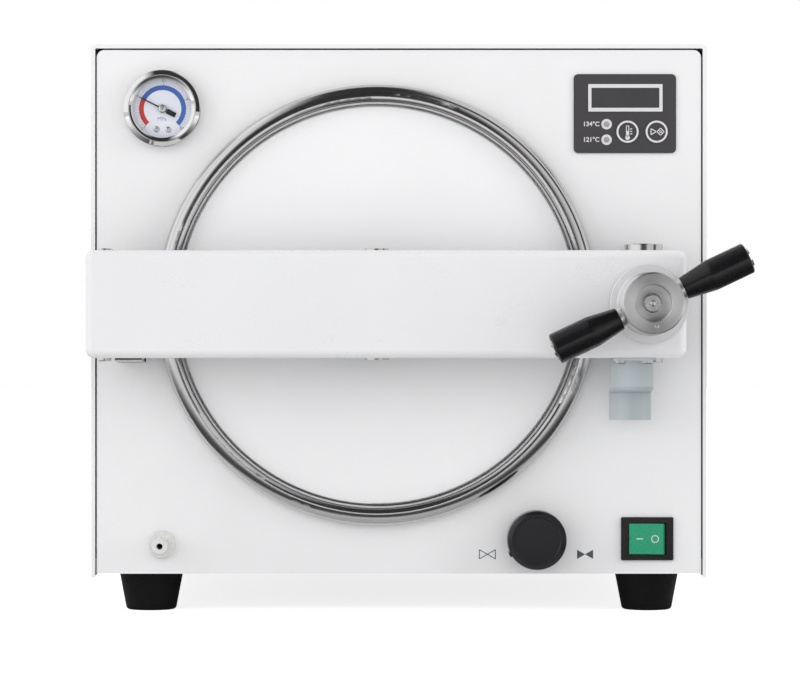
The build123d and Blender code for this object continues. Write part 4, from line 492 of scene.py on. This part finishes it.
def moulded(name, colour, roughness, scale=1500.0, depth=0.00003, coat=0.0, dust=1.25, gloss=0.5):
    """Moulded plastic or rubber: a fine spark texture, with dust that lightens it in patches."""
    material, tree, shader = start_material(name, colour, roughness)
    shader.inputs["Specular IOR Level"].default_value = gloss
    shader.inputs["Coat Weight"].default_value = coat
    shader.inputs["Coat Roughness"].default_value = 0.12
    place = placed(tree)
    ripple = use_effect(tree, EFFECTS["ripple"], place, Scale=scale)
    marks = use_effect(tree, EFFECTS["handling"], place)
    tint(tree, shader, marks.outputs["Mask"], colour, shade(colour, dust), *MARK_RANGE)
    worn(tree, shader, marks, roughness * 0.85, roughness * 1.3)
    bump(tree, shader, ripple.outputs["Height"], depth)
    return material


def inked(name, colour):
    """Printing ink: slightly uneven in tone and gloss."""
    material, tree, shader = start_material(name, colour, 0.5)
    ripple = use_effect(tree, EFFECTS["ripple"], placed(tree), Scale=2500.0)
    tint(tree, shader, ripple.outputs["Height"], shade(colour, 0.9), colour)
    tree.links.new(ranged(tree, ripple.outputs["Height"], 0.42, 0.58), shader.inputs["Roughness"])
    return material


def glazed(name):
    """Clear window glass with faint smears."""
    material, tree, shader = start_material(name, (1, 1, 1), 0.02)
    shader.inputs["Transmission Weight"].default_value = 1.0
    shader.inputs["IOR"].default_value = 1.15
    shader.inputs["Alpha"].default_value = 0.12
    marks = use_effect(tree, EFFECTS["handling"], placed(tree), Patch_scale=60.0)
    worn(tree, shader, marks, 0.0, 0.06)
    return material


def felted(name, colour):
    """Needled fibre: coarse noise in tone and height."""
    material, tree, shader = start_material(name, colour, 0.95)
    shader.inputs["Sheen Weight"].default_value = 0.3
    ripple = use_effect(tree, EFFECTS["ripple"], placed(tree), Scale=350.0)
    tint(tree, shader, ripple.outputs["Height"], shade(colour, 0.75), colour)
    bump(tree, shader, ripple.outputs["Height"], 0.0006)
    return material


EFFECTS = {}
FINISHES = {}

# Finishes that no setting changes: a name, a colour, a roughness, and then what the finish's function takes

UPRIGHT = (1, 1, 0.03)
FIXED_FINISHES = {
    ground: (
        ("galvanised", (0.60, 0.61, 0.62), 0.42, (1, 1, 1), 120, 0.00002, 0.7),
        ("zinc_plate", (0.70, 0.77, 0.81), 0.36, UPRIGHT, 900, 0.00001, 0.72, 0.5),
        ("zinc_screw", (0.82, 0.83, 0.84), 0.3, (1, 1, 1), 900, 0.00001),
        ("bright_steel", (0.72, 0.72, 0.72), 0.14, UPRIGHT, 2200, 0.00001),
        ("stainless", (0.72, 0.72, 0.72), 0.32, (1, 0.04, 1), 1500, 0.00001, 0.93),
        ("heater_sheet", (0.42, 0.40, 0.37), 0.4, (1, 0.05, 1)),
        ("copper_tube", (0.72, 0.38, 0.22), 0.3, (1, 1, 1), 300, 0.00001, 0.6),
    ),
    lathed: (
        ("gauge_chrome", (0.80, 0.80, 0.80), 0.05, GAUGE_CENTRE, 3000, 0.000001, 0.97),
        ("hub_aluminium", (0.86, 0.86, 0.87), 0.36, HUB_CENTRE, 1500, 0.000008, 0.86, 0.9, 20.2 * MM),
        ("screw_steel", (0.86, 0.85, 0.84), 0.3, HUB_CENTRE, 1500, 0.000004, 0.9, 0.6),
        ("valve_brass", (0.72, 0.52, 0.22), 0.28, VALVE_CENTRE, 2500, 0.00001),
    ),
    moulded: (
        ("black_rubber", (0.004, 0.004, 0.004), 0.6, 900, 0.00006, 0, 1.25, 0.2),
        ("silicone", (0.62, 0.58, 0.54), 0.45, 700, 0.00002, 0, 1.1),
        ("black_grip", (0.005, 0.005, 0.006), 0.28, 1100, 0.00002, 0.3, 1.25, 0.3),
        ("knob_black", (0.008, 0.008, 0.010), 0.33, 1800, 0.00004, 0.2),
        ("fascia_film", (0.050, 0.047, 0.051), 0.5, 2200, 0.00001, 0, 1.08, 0.4),
        ("window_film", (0.052, 0.050, 0.053), 0.35, 2500, 0.00001, 0, 1.05, 0.3),
        ("lamp_lens", (0.33, 0.31, 0.31), 0.3, 2500, 0.00001, 0.4),
        ("circuit_green", (0.02, 0.13, 0.05), 0.4, 900, 0.00002),
        ("switch_black", (0.012, 0.009, 0.010), 0.3, 1500, 0.00001, 0.1, 1.08),
        ("rocker_green", (0.008, 0.31, 0.155), 0.3, 1500, 0.00001, 0.3, 1.04),
        ("nozzle_white", (0.60, 0.60, 0.59), 0.4, 1500, 0.00002),
        ("inlet_black", (0.015, 0.015, 0.015), 0.45),
    ),
    painted: (
        ("dial_white", (0.80, 0.82, 0.90), 0.5, 2500, 0.000005),
        ("pointer_paint", (0.012, 0.012, 0.014), 0.4, 2500, 0.00001),
    ),
    inked: (("unit_ink", (0.28, 0.32, 0.42)), ("panel_ink", (0.09, 0.09, 0.10))),
    felted: (("felt", (0.70, 0.66, 0.58)),),
    glazed: (("clear_glass",),),
}

# Operators


class AUTOCLAVE_OT_finishes(bpy.types.Operator):
    """Builds the shared effects and every finish"""

    bl_idname = "autoclave.finishes"
    bl_label = "Finishes"

    def execute(self, context):
        paint = context.scene.autoclave_paint
        ink = context.scene.autoclave_print
        metal = context.scene.autoclave_metal
        EFFECTS.update(
            ripple=ripple_effect(), streak=streak_effect(), lathe=lathe_effect(), handling=handling_effect(),
        )
        for make, rows in FIXED_FINISHES.items():
            for name, *values in rows:
                FINISHES[name] = make(name, *values)
        peel = 1 / paint.grain
        FINISHES.update(
            powder_coat=painted("powder_coat", tuple(paint.casing), 0.42, peel, 0.00006),
            beam_enamel=painted("beam_enamel", tuple(paint.beam), 0.3, peel * 0.6, 0.00004, 0.35),
            # The lid's lighter paint is painted light: it cancels the shade that the ring and the beam cast
            # on the recessed lid.
            lid_paint=painted("lid_paint", tuple(paint.lid), 0.38, peel, 0.00003),
            primer=painted("primer", (0.10, 0.10, 0.105), 0.55, peel, 0.00008),
            ring_polish=lathed("ring_polish", (0.72, 0.71, 0.71), metal.polish, RING_CENTRE, 2600, 0.000006),
            dial_ink=inked("dial_ink", tuple(ink.dial_ink)),
            vacuum_ink=inked("vacuum_ink", tuple(ink.vacuum_band)),
            pressure_ink=inked("pressure_ink", tuple(ink.pressure_band)),
            fascia_ink=inked("fascia_ink", tuple(ink.fascia_ink)),
        )
        return {"FINISHED"}


NODE_FINISH = {
    "powder_coat": ("wrap_cover", "front_panel", "rear_panel"),
    "beam_enamel": ("door_beam",),
    "lid_paint": ("lid_plate",),
    "primer": ("yoke_plate", "lid_boss", "transformer", "trunnion_clips", "screw_clip"),
    "galvanised": ("chassis_base", "chamber_cradles"),
    "zinc_plate": ("stop_plate",),
    "zinc_screw": ("foot_screws", "cover_screws", "stop_plate_screws"),
    "ring_polish": ("door_ring",),
    "gauge_chrome": ("gauge_case",),
    "bright_steel": (
        "hinge_bracket", "hinge_pin", "latch_bracket", "latch_trunnion", "lid_pin", "thrust_washer",
    ),
    "stainless": (
        "chamber_shell", "chamber_head", "lid_dish", "tray_rack", "tray_lower", "tray_middle", "tray_upper",
    ),
    "heater_sheet": ("heater_band",),
    "hub_aluminium": ("handle_hub",),
    "screw_steel": ("grip_spindles", "clamp_screw", "safety_valve_pull"),
    "valve_brass": ("steam_valve", "safety_valve"),
    "copper_tube": ("steam_pipes", "gauge_pipe"),
    "black_rubber": ("feet",),
    "silicone": ("lid_gasket",),
    "black_grip": ("grip_left", "grip_right"),
    "knob_black": ("valve_knob",),
    "fascia_film": ("control_fascia", "key_temperature", "key_start"),
    "window_film": ("display_window",),
    "lamp_lens": ("indicator_lamps",),
    "circuit_green": ("control_board",),
    "switch_black": ("switch_body",),
    "rocker_green": ("switch_rocker",),
    "nozzle_white": ("drain_nozzle",),
    "inlet_black": ("power_inlet", "thermal_cutout"),
    "dial_white": ("gauge_dial",),
    "clear_glass": ("gauge_glass",),
    "felt": ("insulation_jacket",),
    "pointer_paint": ("gauge_pointer",),
}


class AUTOCLAVE_OT_dress_nodes(bpy.types.Operator):
    """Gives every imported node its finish"""

    bl_idname = "autoclave.dress_nodes"
    bl_label = "Packed nodes"

    def execute(self, context):
        left = set(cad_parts)
        for finish, nodes in NODE_FINISH.items():
            for node in nodes:
                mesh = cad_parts[node].data
                mesh.materials.clear()
                mesh.materials.append(FINISHES[finish])
                left.discard(node)
        if left:
            raise RuntimeError(f"nodes without a finish: {sorted(left)}")
        return {"FINISHED"}


def dial_spot(radius, angle):
    """A point on the dial, from its centre."""
    return GAUGE_CENTRE[0] + radius * cos(angle), GAUGE_CENTRE[2] + radius * sin(angle)


# The gauge's dial: the bands' radii, the angle of zero and of both ends, and the screws' places

DIAL_BAND = (12.2 * MM, 15.3 * MM)
DIAL_LOW, DIAL_ZERO, DIAL_HIGH = radians(225), radians(153), radians(-45)
DIAL_NUMBERS = ("0.1", "0", "0.1", "0.2", "0.3")
DIAL_SCREWS = (("left", -3.8, -13.1), ("right", 3.6, -13.4))
DIAL_SCREW = ((0, 0), (1.9, 0), (1.9, 0.2), (1.6, 0.45), (1.0, 0.6), (0.45, 0.62), (0.35, 0.3), (0, 0.3))
POINTER_CAP = ((0, 0), (2.4, 0), (2.4, 0.25), (2.1, 0.45), (0.8, 0.5), (0.6, 0.2), (0, 0.2))


class AUTOCLAVE_OT_gauge_print(bpy.types.Operator):
    """Prints the dial's two bands, graduations, numbers and unit, and sets its two screws"""

    bl_idname = "autoclave.gauge_print"
    bl_label = "Gauge dial"

    def execute(self, context):
        film = context.scene.autoclave_print.film
        back = -DIAL_FRONT
        centre = (GAUGE_CENTRE[0], GAUGE_CENTRE[2])
        made = band(centre, *DIAL_BAND, DIAL_LOW, DIAL_ZERO, back, back + film, 24)
        piece("dial_vacuum_band", *made, FINISHES["vacuum_ink"], "casing", "dial_white")
        made = band(centre, *DIAL_BAND, DIAL_ZERO, DIAL_HIGH, back, back + film, 64)
        piece("dial_pressure_band", *made, FINISHES["pressure_ink"], "casing", "dial_white")
        ticks = []
        below = np.linspace(DIAL_LOW, DIAL_ZERO, 10, endpoint=False)
        angles = [*below, *np.linspace(DIAL_ZERO, DIAL_HIGH, 31)]
        for index, angle in enumerate(angles):
            long = index % 10 == 0
            inner = (15.5 if index % 5 == 0 else 15.9) * MM
            outer = (17.1 if long else 16.7) * MM
            width = (0.32 if long else 0.16) * MM
            ticks.append(stroke(dial_spot(inner, angle), dial_spot(outer, angle), width, back, back + film))
        piece("dial_graduations", *joined(ticks), FINISHES["dial_ink"], "casing", "dial_white")
        ink = FINISHES["dial_ink"]
        for index, number in enumerate(DIAL_NUMBERS):
            name, spot = f"dial_number_{index}", dial_spot(18.1 * MM, angles[index * 10])
            lettering(name, number, spot, 1.5 * MM, back, film, ink, "casing")
        ink, unit = FINISHES["unit_ink"], (centre[0] - 0.4 * MM, centre[1] - 6.6 * MM)
        lettering("dial_unit", "MPa", unit, 2.4 * MM, back, film, ink, "casing")
        for label, across, up in DIAL_SCREWS:
            spot = (centre[0] + across * MM, DIAL_FRONT, centre[1] + up * MM)
            made = turned(np.array(DIAL_SCREW) * MM, spot, 32)
            piece(f"dial_screw_{label}", *made, FINISHES["zinc_screw"], "casing", "zinc_screws")
        spot = (centre[0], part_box("gauge_pointer")[0].y, centre[1])
        made = turned(np.array(POINTER_CAP) * MM, spot, 48)
        piece("pointer_cap", *made, FINISHES["zinc_screw"], "pointer", "zinc_screws")
        return {"FINISHED"}


class AUTOCLAVE_OT_gauge_case(bpy.types.Operator):
    """Turns the gauge's case with its chromed bezel"""

    bl_idname = "autoclave.gauge_case"
    bl_label = "Gauge case"

    def execute(self, context):
        """The case is a profile of radius and height revolved about the gauge's axis. Its rim runs inwards
        from the outer edge by the slopes, while it lies below the bezel's crest by the rises."""
        low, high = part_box("gauge_case")
        radius = (high.x - low.x) / 2
        depth = high.y - PANEL_FRONT
        height = PANEL_FRONT - low.y
        glass = PANEL_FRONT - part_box("gauge_glass")[0].y
        barrel, wall = radius - 2.4 * MM, 1.2 * MM
        share, stations = np.linspace(0, 1, 25), (0, 0.1, 0.55, 0.6, 0.9, 1)
        slopes = np.interp(share, stations, (0, 0.5, 3.2, 3.5, 5.1, 5.8)) * MM
        rise = np.interp(share, stations, (2.5, 1.9, 0.2, 0.2, 1.2, 1.5)) * MM
        rim = np.stack([radius - slopes, height - rise], axis=1)
        profile = [
            (0, -depth), (barrel - wall, -depth), (barrel, wall - depth), (barrel, 0), (radius - 0.3 * MM, 0),
            (radius, 0.3 * MM), *rim, (radius - 5.8 * MM, glass), (barrel - wall, glass),
            (barrel - wall, wall - depth), (0, wall - depth),
        ]
        spot = (GAUGE_CENTRE[0], PANEL_FRONT, GAUGE_CENTRE[2])
        made = turned(profile, spot, 192)
        made = piece("gauge_chrome_case", *made, FINISHES["gauge_chrome"], "casing", "polished_steel")
        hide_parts("gauge_case")
        return {"FINISHED"}


def ring_mark(centre, outer, width, back, film, steps=48):
    """A printed circle line."""
    return band(centre, outer - width, outer, 0, tau, back, back + film, steps)


def outlined(corners, width, back, front):
    """The sides of a closed shape as bars."""
    sides = zip(corners, corners[1:] + corners[:1])
    return [stroke(first, second, width, back, front) for first, second in sides]


# The keys' signs in millimetres from the key's middle: a bar is its width and two ends

KEY_RING = (7.2 * MM, 1.25 * MM)
THERMOMETER = (
    (2.0, (0, -3.0), (0, 0.5)),
    (0.5, (-0.8, 0.5), (-0.8, 3.6)),
    (0.5, (0.8, 0.5), (0.8, 3.6)),
    (0.5, (-1.05, 3.7), (1.05, 3.7)),
    *((0.6, (1.6, level), (3.0, level)) for level in (1.8, 0.2, -1.4)),
)
START_SHAPES = (
    ((-3.7, 2.0), (-0.3, 0.0), (-3.7, -2.0)),
    ((0.2, 0.0), (2.5, 2.3), (4.8, 0.0), (2.5, -2.3)),
    ((1.7, 0.0), (2.5, 0.8), (3.3, 0.0), (2.5, -0.8)),
)


class AUTOCLAVE_OT_fascia_print(bpy.types.Operator):
    """Prints the window's frame, the lamps' rings and values, and the keys' rings and signs"""

    bl_idname = "autoclave.fascia_print"
    bl_label = "Control fascia"

    def execute(self, context):
        film = context.scene.autoclave_print.film
        ink = FINISHES["fascia_ink"]
        low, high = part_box("display_window")
        centre = ((low.x + high.x) / 2, (low.z + high.z) / 2)
        size = np.array([high.x - low.x, high.z - low.z])
        outer = frame_outline(centre, size, 0.4 * MM, 6)
        inner = frame_outline(centre, size - np.array([4.2, 4.8]) * MM, 0.2 * MM, 6)
        back = -low.y
        piece("window_frame", *border(outer, inner, back, back + film), ink, "casing", "fascia_grey")
        lamp_low, lamp_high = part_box("indicator_lamps")
        lamp_x = (lamp_low.x + lamp_high.x) / 2
        radius = (lamp_high.x - lamp_low.x) / 2
        back = -FASCIA_FRONT
        lamps = []
        for level, value in ((lamp_high.z - radius, "134"), (lamp_low.z + radius, "121")):
            lamps.append(ring_mark((lamp_x, level), 3.4 * MM, 1.55 * MM, back, film))
            name, text, spot = f"lamp_value_{value}", value + "°C", (lamp_x - 10.0 * MM, level)
            lettering(name, text, spot, 2.9 * MM, back, film, ink, "casing", 0.1 * MM)
        piece("lamp_rings", *joined(lamps), ink, "casing", "fascia_grey")
        self.temperature_sign(film, ink)
        self.start_sign(film, ink)
        return {"FINISHED"}

    def temperature_sign(self, film, ink):
        """A tube with a round bulb and three short lines beside it, inside a ring."""
        x, _, z = middle("key_temperature")
        back = -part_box("key_temperature")[0].y
        marks = [
            ring_mark((x, z), *KEY_RING, back, film),
            ring_mark((x, z - 3.9 * MM), 1.5 * MM, 1.49 * MM, back, film, 24),
        ]
        for width, *ends in THERMOMETER:
            start, end = [(x + u * MM, z + v * MM) for u, v in ends]
            marks.append(stroke(start, end, width * MM, back, back + film))
        piece("temperature_sign", *joined(marks), ink, "temperature_key", "fascia_grey")

    def start_sign(self, film, ink):
        """A start triangle and a diamond with a small one inside it, drawn in lines, inside a ring."""
        x, _, z = middle("key_start")
        back = -KEY_FRONT
        marks = [ring_mark((x, z), *KEY_RING, back, film)]
        for shape in START_SHAPES:
            corners = [(x + u * MM, z + v * MM) for u, v in shape]
            marks += outlined(corners, 0.6 * MM, back, back + film)
        piece("start_sign", *joined(marks), ink, "start_key", "fascia_grey")


class AUTOCLAVE_OT_panel_marks(bpy.types.Operator):
    """Prints an open-valve and a shut-valve sign beside the knob, and I and O on the rocker"""

    bl_idname = "autoclave.panel_marks"
    bl_label = "Valve and switch marks"

    def execute(self, context):
        film = context.scene.autoclave_print.film
        back = -PANEL_FRONT
        level = VALVE_CENTRE[2] - 10.2 * MM
        for label, across, filled in (("open", -31.5, False), ("shut", 32.0, True)):
            x = VALVE_CENTRE[0] + across * MM
            marks = []
            for side in (-1, 1):
                end = x + side * 5.2 * MM
                corners = [(x, level), (end, level + 3 * MM), (end, level - 3 * MM)]
                if filled:
                    marks.append(plate(corners, back, back + film))
                else:
                    marks += outlined(corners, 0.55 * MM, back, back + film)
            piece(f"valve_sign_{label}", *joined(marks), FINISHES["panel_ink"], "casing", "white_paint")
        self.rocker_marks(film)
        self.knob_marks(film)
        return {"FINISHED"}

    def rocker_marks(self, film):
        """A bar and a circle lying on the rocker's two sloping halves."""
        x, _, z = middle("switch_rocker")
        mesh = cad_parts["switch_rocker"].data
        corners = np.empty(len(mesh.vertices) * 3, np.float32)
        mesh.vertices.foreach_get("co", corners)
        corners = corners.reshape(-1, 3)
        level = {}
        for side in (-1, 1):
            near = corners[(corners[:, 0] - x) * side > 4 * MM]
            level[side] = near[near[:, 1].argmin()]
        ridge = corners[np.abs(corners[:, 0] - x) < 2.5 * MM]
        ridge = ridge[ridge[:, 1].argmin()]

        def face_y(u):
            end = level[1] if u > ridge[0] else level[-1]
            share = (u - ridge[0]) / (end[0] - ridge[0])
            return ridge[1] + share * (end[1] - ridge[1])

        bar_x, circle_x = x - 4.6 * MM, x + 5.2 * MM
        marks = {
            "rocker_bar": stroke((bar_x - 2.2 * MM, z), (bar_x + 2.2 * MM, z), 0.7 * MM, 0, 1),
            "rocker_circle": band((circle_x, z), 1.9 * MM, 2.5 * MM, 0, tau, 0, 1, 40),
        }
        for name, (points, faces) in marks.items():
            lift = np.where(points[:, 1] < -0.5, film, -film)
            points = points.copy()
            points[:, 1] = np.array([face_y(u) for u in points[:, 0]]) - lift
            piece(name, points, faces, FINISHES["fascia_ink"], "power_rocker", "rocker_green")

    def knob_marks(self, film):
        """A moulded arc with an arrow's end in the knob's dish."""
        centre = (VALVE_CENTRE[0], VALVE_CENTRE[2])
        floor = -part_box("valve_knob")[0].y - 0.9 * MM
        top = floor + 0.35 * MM
        start, end = radians(64), radians(118)
        arc = band(centre, 10.9 * MM, 11.7 * MM, start, end, floor - film, top, 40)
        tip = np.array([centre[0] + 11.3 * MM * cos(start), centre[1] + 11.3 * MM * sin(start)])
        along = np.array([sin(start), -cos(start)])
        out = np.array([cos(start), sin(start)])
        corners = [tip + along * 2.2 * MM, tip + out * 1.3 * MM, tip - out * 1.3 * MM]
        head = plate(corners, floor - film, top)
        piece("knob_arrow", *joined([arc, head]), FINISHES["knob_black"], "steam_knob", "knob_black")


class AUTOCLAVE_OT_clamp_screw(bpy.types.Operator):
    """Cuts the clamp screw's thread and sets the hub's small grub screw"""

    bl_idname = "autoclave.clamp_screw"
    bl_label = "Clamp screw"

    def execute(self, context):
        """A point is the axis plus a radius times (cos, sin) of its angle. The radius is the bar's, less the
        thread's depth times a clipped cosine of (distance along over pitch, in turns, less the angle), which
        fades in at the tip and out at the smooth shank, and less the nose's and the end's chamfers."""
        metal = context.scene.autoclave_metal
        low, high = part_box("clamp_screw")
        centre = middle("clamp_screw")
        radius = (high.x - low.x) / 2
        tip, end = -high.y, -low.y
        smooth_from = -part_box("door_beam")[1].y - 3 * MM
        rows, steps, chamfer = 560, 48, 1.0 * MM
        along = np.concatenate([np.linspace(tip, smooth_from, rows), [end - chamfer, end]])
        angles = np.linspace(0, tau, steps, endpoint=False)
        turn = along[:, None] / metal.thread_pitch * tau - angles[None, :]
        flank = 0.5 - 0.5 * np.cos(turn)
        depth = metal.thread_depth * np.clip(flank * 1.6 - 0.3, 0, 1)
        fade_in = np.clip((along - tip) / (2.5 * MM), 0, 1)
        fade_out = np.clip((smooth_from - along) / (2.0 * MM), 0, 1)
        nose = np.where(along - tip < 2 * MM, (2 * MM - (along - tip)), 0)
        across = radius - nose[:, None] - depth * (fade_in * fade_out)[:, None]
        across[-1] -= chamfer
        drill = 2.2 * MM
        across = np.concatenate([across, np.full((1, steps), drill)])
        along = np.append(along, end)
        u, v = centre[0] + across * np.cos(angles), centre[2] + across * np.sin(angles)
        points = on_front(u, v, along[:, None]).reshape(-1, 3)
        drill_rim, top = len(points) - steps, len(points)
        points = np.concatenate([points, [[centre[0], drill - end, centre[2]], [centre[0], -tip, centre[2]]]])
        faces = grid_faces(len(along), steps, wrap_columns=True)
        for i in range(steps):
            j = (i + 1) % steps
            faces += [[drill_rim + i, drill_rim + j, top], [j, i, top + 1]]
        made = piece("threaded_clamp_screw", points, faces, FINISHES["screw_steel"], "handle", "screw_steel")
        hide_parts("clamp_screw")
        self.grub_screw()
        return {"FINISHED"}

    def grub_screw(self):
        """A grub screw with a hexagon socket in the hub's front face, below and right of its middle."""
        angle, radius = radians(-82), 14.6 * MM
        x, z = HUB_CENTRE[0] + radius * cos(angle), HUB_CENTRE[2] + radius * sin(angle)
        profile = [(0, -0.4), (1.3, -0.4), (1.3, 0.12), (1.1, 0.22), (0.62, 0.22), (0.62, -0.3), (0, -0.3)]
        spot = (x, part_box("handle_hub")[0].y, z)
        made = turned(np.array(profile) * MM, spot, 24)
        piece("hub_grub_screw", *made, FINISHES["screw_steel"], "handle", "screw_steel")


# The stage: each lamp's name, place, size and watts, and how much the floor glows to the camera

LAMPS = (
    ("front_lamp", (-0.2, -2.6, 0.75), (3.0, 2.2), 15),
    ("left_lamp", (-2.0, -1.3, 0.8), (1.0, 2.0), 14),
    ("right_lamp", (2.0, -1.0, 0.8), (0.7, 1.6), 12),
)
LAMP_AIM = (0, -0.1, 0.18)
CAMERA_GLOW = 0.8
SENSOR_WIDTH = 36


def lamp(name, place, target, size, power):
    """A soft rectangular lamp that looks at a point. No metal mirrors it, but the studio's walls instead."""
    data = bpy.data.lights.new(name, "AREA")
    data.shape = "RECTANGLE"
    data.size, data.size_y = size
    data.energy = power
    made = added(name, data)
    made.visible_glossy = False
    made.location = place
    made.rotation_euler = (Vector(target) - Vector(place)).to_track_quat("-Z", "Y").to_euler()


class AUTOCLAVE_OT_stage(bpy.types.Operator):
    """Lays the pale floor, lights the object softly and sets the camera"""

    bl_idname = "autoclave.stage"
    bl_label = "Stage"

    def execute(self, context):
        studio = context.scene.autoclave_studio
        self.floor(studio)
        self.world()
        for name, place, size, power in LAMPS:
            lamp(name, place, LAMP_AIM, size, power * studio.lamp_power)
        camera = bpy.data.cameras.new("front_camera")
        camera.sensor_width = SENSOR_WIDTH
        camera.lens = SENSOR_WIDTH * studio.distance / studio.frame_width
        camera.clip_end = 50
        made = added("front_camera", camera)
        made.location = (0.0007, PANEL_FRONT - studio.distance, studio.height)
        made.rotation_euler = (radians(90), 0, 0)
        context.scene.camera = made
        context.scene.view_settings.view_transform = "Standard"
        return {"FINISHED"}

    def floor(self, studio):
        """A wide flat floor that looks white to the camera and keeps a weak shadow. Metal mirrors a dark
        strip of it round the object, which is full at 0.36 to 0.5 m from the middle and gone at 1.1 m."""
        mesh = bpy.data.meshes.new("bench_top")
        half = 12.0
        corners = [(-half, -half, 0), (half, -half, 0), (half, half, 0), (-half, half, 0)]
        mesh.from_pydata(corners, [], [(0, 1, 2, 3)])
        added("bench_top", mesh)
        material, tree, shader = start_material("bench_white", tuple(studio.floor), 0.7)
        ripple = use_effect(tree, EFFECTS["ripple"], placed(tree), Scale=60.0)
        tone = toned(tree, ripple.outputs["Slow"], shade(tuple(studio.floor), 0.99), tuple(studio.floor))
        path = tree.nodes.new("ShaderNodeLightPath")
        away = tree.nodes.new("ShaderNodeVectorMath")
        away.operation = "LENGTH"
        tree.links.new(placed(tree), away.inputs[0])
        near = math_node(
            tree, "MULTIPLY", ranged(tree, away.outputs["Value"], 0.2, 0.97, 0.31, 0.36),
            ranged(tree, away.outputs["Value"], 1.0, 0.0, 0.5, 1.1),
        )
        mirrored = tree.nodes.new("ShaderNodeMix")
        mirrored.data_type = "RGBA"
        tree.links.new(math_node(tree, "MULTIPLY", path.outputs["Is Glossy Ray"], near), mirrored.inputs[0])
        tree.links.new(tone, mirrored.inputs[6])
        mirrored.inputs[7].default_value = (0.03, 0.03, 0.03, 1)
        tree.links.new(mirrored.outputs[2], shader.inputs["Base Color"])
        shader.inputs["Emission Color"].default_value = (1, 1, 1, 1)
        glow = math_node(tree, "MULTIPLY", path.outputs["Is Camera Ray"], CAMERA_GLOW)
        tree.links.new(glow, shader.inputs["Emission Strength"])
        mesh.materials.append(material)

    def world(self):
        """White to the camera, and a soft light on the object that grows from below to above. Metal sees a
        studio: dark in front and above, a bright wall on the left, a dimmer one on the right with a dark
        flag standing in it, and a wall behind."""
        world = bpy.data.worlds.new("white_studio")
        bpy.context.scene.world = world
        world.use_nodes = True
        tree = world.node_tree
        background = tree.nodes["Background"]
        background.inputs["Color"].default_value = (1, 1, 1, 1)
        where = tree.nodes.new("ShaderNodeTexCoord")
        split = tree.nodes.new("ShaderNodeSeparateXYZ")
        tree.links.new(where.outputs["Generated"], split.inputs[0])
        across, ahead, up = split.outputs
        left = ranged(tree, across, 1.0, 0.0, -0.5, -0.25)
        before = ranged(tree, ahead, 1.0, 0.0, -0.58, -0.52)
        flag = math_node(tree, "MAXIMUM", before, ranged(tree, ahead, 0.0, 1.0, -0.3, -0.22))
        right = math_node(tree, "MULTIPLY", ranged(tree, across, 0.0, 0.7, 0.15, 0.35), flag)
        behind = ranged(tree, ahead, 0.0, 0.85, 0.1, 0.4)
        walls = math_node(tree, "MAXIMUM", math_node(tree, "MAXIMUM", left, right), behind)
        mirrored = math_node(tree, "ADD", walls, 0.04)
        lift = ranged(tree, up, 0.52, 0.86, -0.2, 0.7)
        path = tree.nodes.new("ShaderNodeLightPath")
        seen = lift
        for ray, value in (("Is Glossy Ray", mirrored), ("Is Camera Ray", 1.0)):
            choice = tree.nodes.new("ShaderNodeMix")
            tree.links.new(path.outputs[ray], choice.inputs[0])
            tree.links.new(seen, choice.inputs[2])
            feed(tree, value, choice.inputs[3])
            seen = choice.outputs[0]
        tree.links.new(seen, background.inputs["Strength"])


OPERATORS = (
    AUTOCLAVE_OT_finishes,
    AUTOCLAVE_OT_dress_nodes,
    AUTOCLAVE_OT_gauge_case,
    AUTOCLAVE_OT_gauge_print,
    AUTOCLAVE_OT_fascia_print,
    AUTOCLAVE_OT_panel_marks,
    AUTOCLAVE_OT_clamp_screw,
    AUTOCLAVE_OT_stage,
)


class AUTOCLAVE_PT_panel(bpy.types.Panel):
    """The autoclave's sizes, colours and steps"""

    bl_label = "Autoclave"
    bl_idname = "AUTOCLAVE_PT_panel"
    bl_space_type = "VIEW_3D"
    bl_region_type = "UI"
    bl_category = "Autoclave"

    def draw(self, context):
        for label in ("autoclave_paint", "autoclave_print", "autoclave_metal", "autoclave_studio"):
            group = getattr(context.scene, label)
            box = self.layout.box()
            for name in group.bl_rna.properties.keys():
                if name not in ("rna_type", "name"):
                    box.prop(group, name)
        for operator in OPERATORS:
            self.layout.operator(operator.bl_idname)


GROUPS = {
    "autoclave_paint": AutoclavePaint,
    "autoclave_print": AutoclavePrint,
    "autoclave_metal": AutoclaveMetal,
    "autoclave_studio": AutoclaveStudio,
}


def register():
    """Registers the groups, operators and panel."""
    for name, group in GROUPS.items():
        bpy.utils.register_class(group)
        setattr(bpy.types.Scene, name, bpy.props.PointerProperty(type=group))
    for operator in OPERATORS:
        bpy.utils.register_class(operator)
    bpy.utils.register_class(AUTOCLAVE_PT_panel)


def unregister():
    """Takes them out again."""
    bpy.utils.unregister_class(AUTOCLAVE_PT_panel)
    for operator in reversed(OPERATORS):
        bpy.utils.unregister_class(operator)
    for name, group in GROUPS.items():
        delattr(bpy.types.Scene, name)
        bpy.utils.unregister_class(group)


def main():
    """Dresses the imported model."""
    register()
    for operator in OPERATORS:
        group, name = operator.bl_idname.split(".")
        getattr(getattr(bpy.ops, group), name)()


if __name__ == "__main__":
    main()
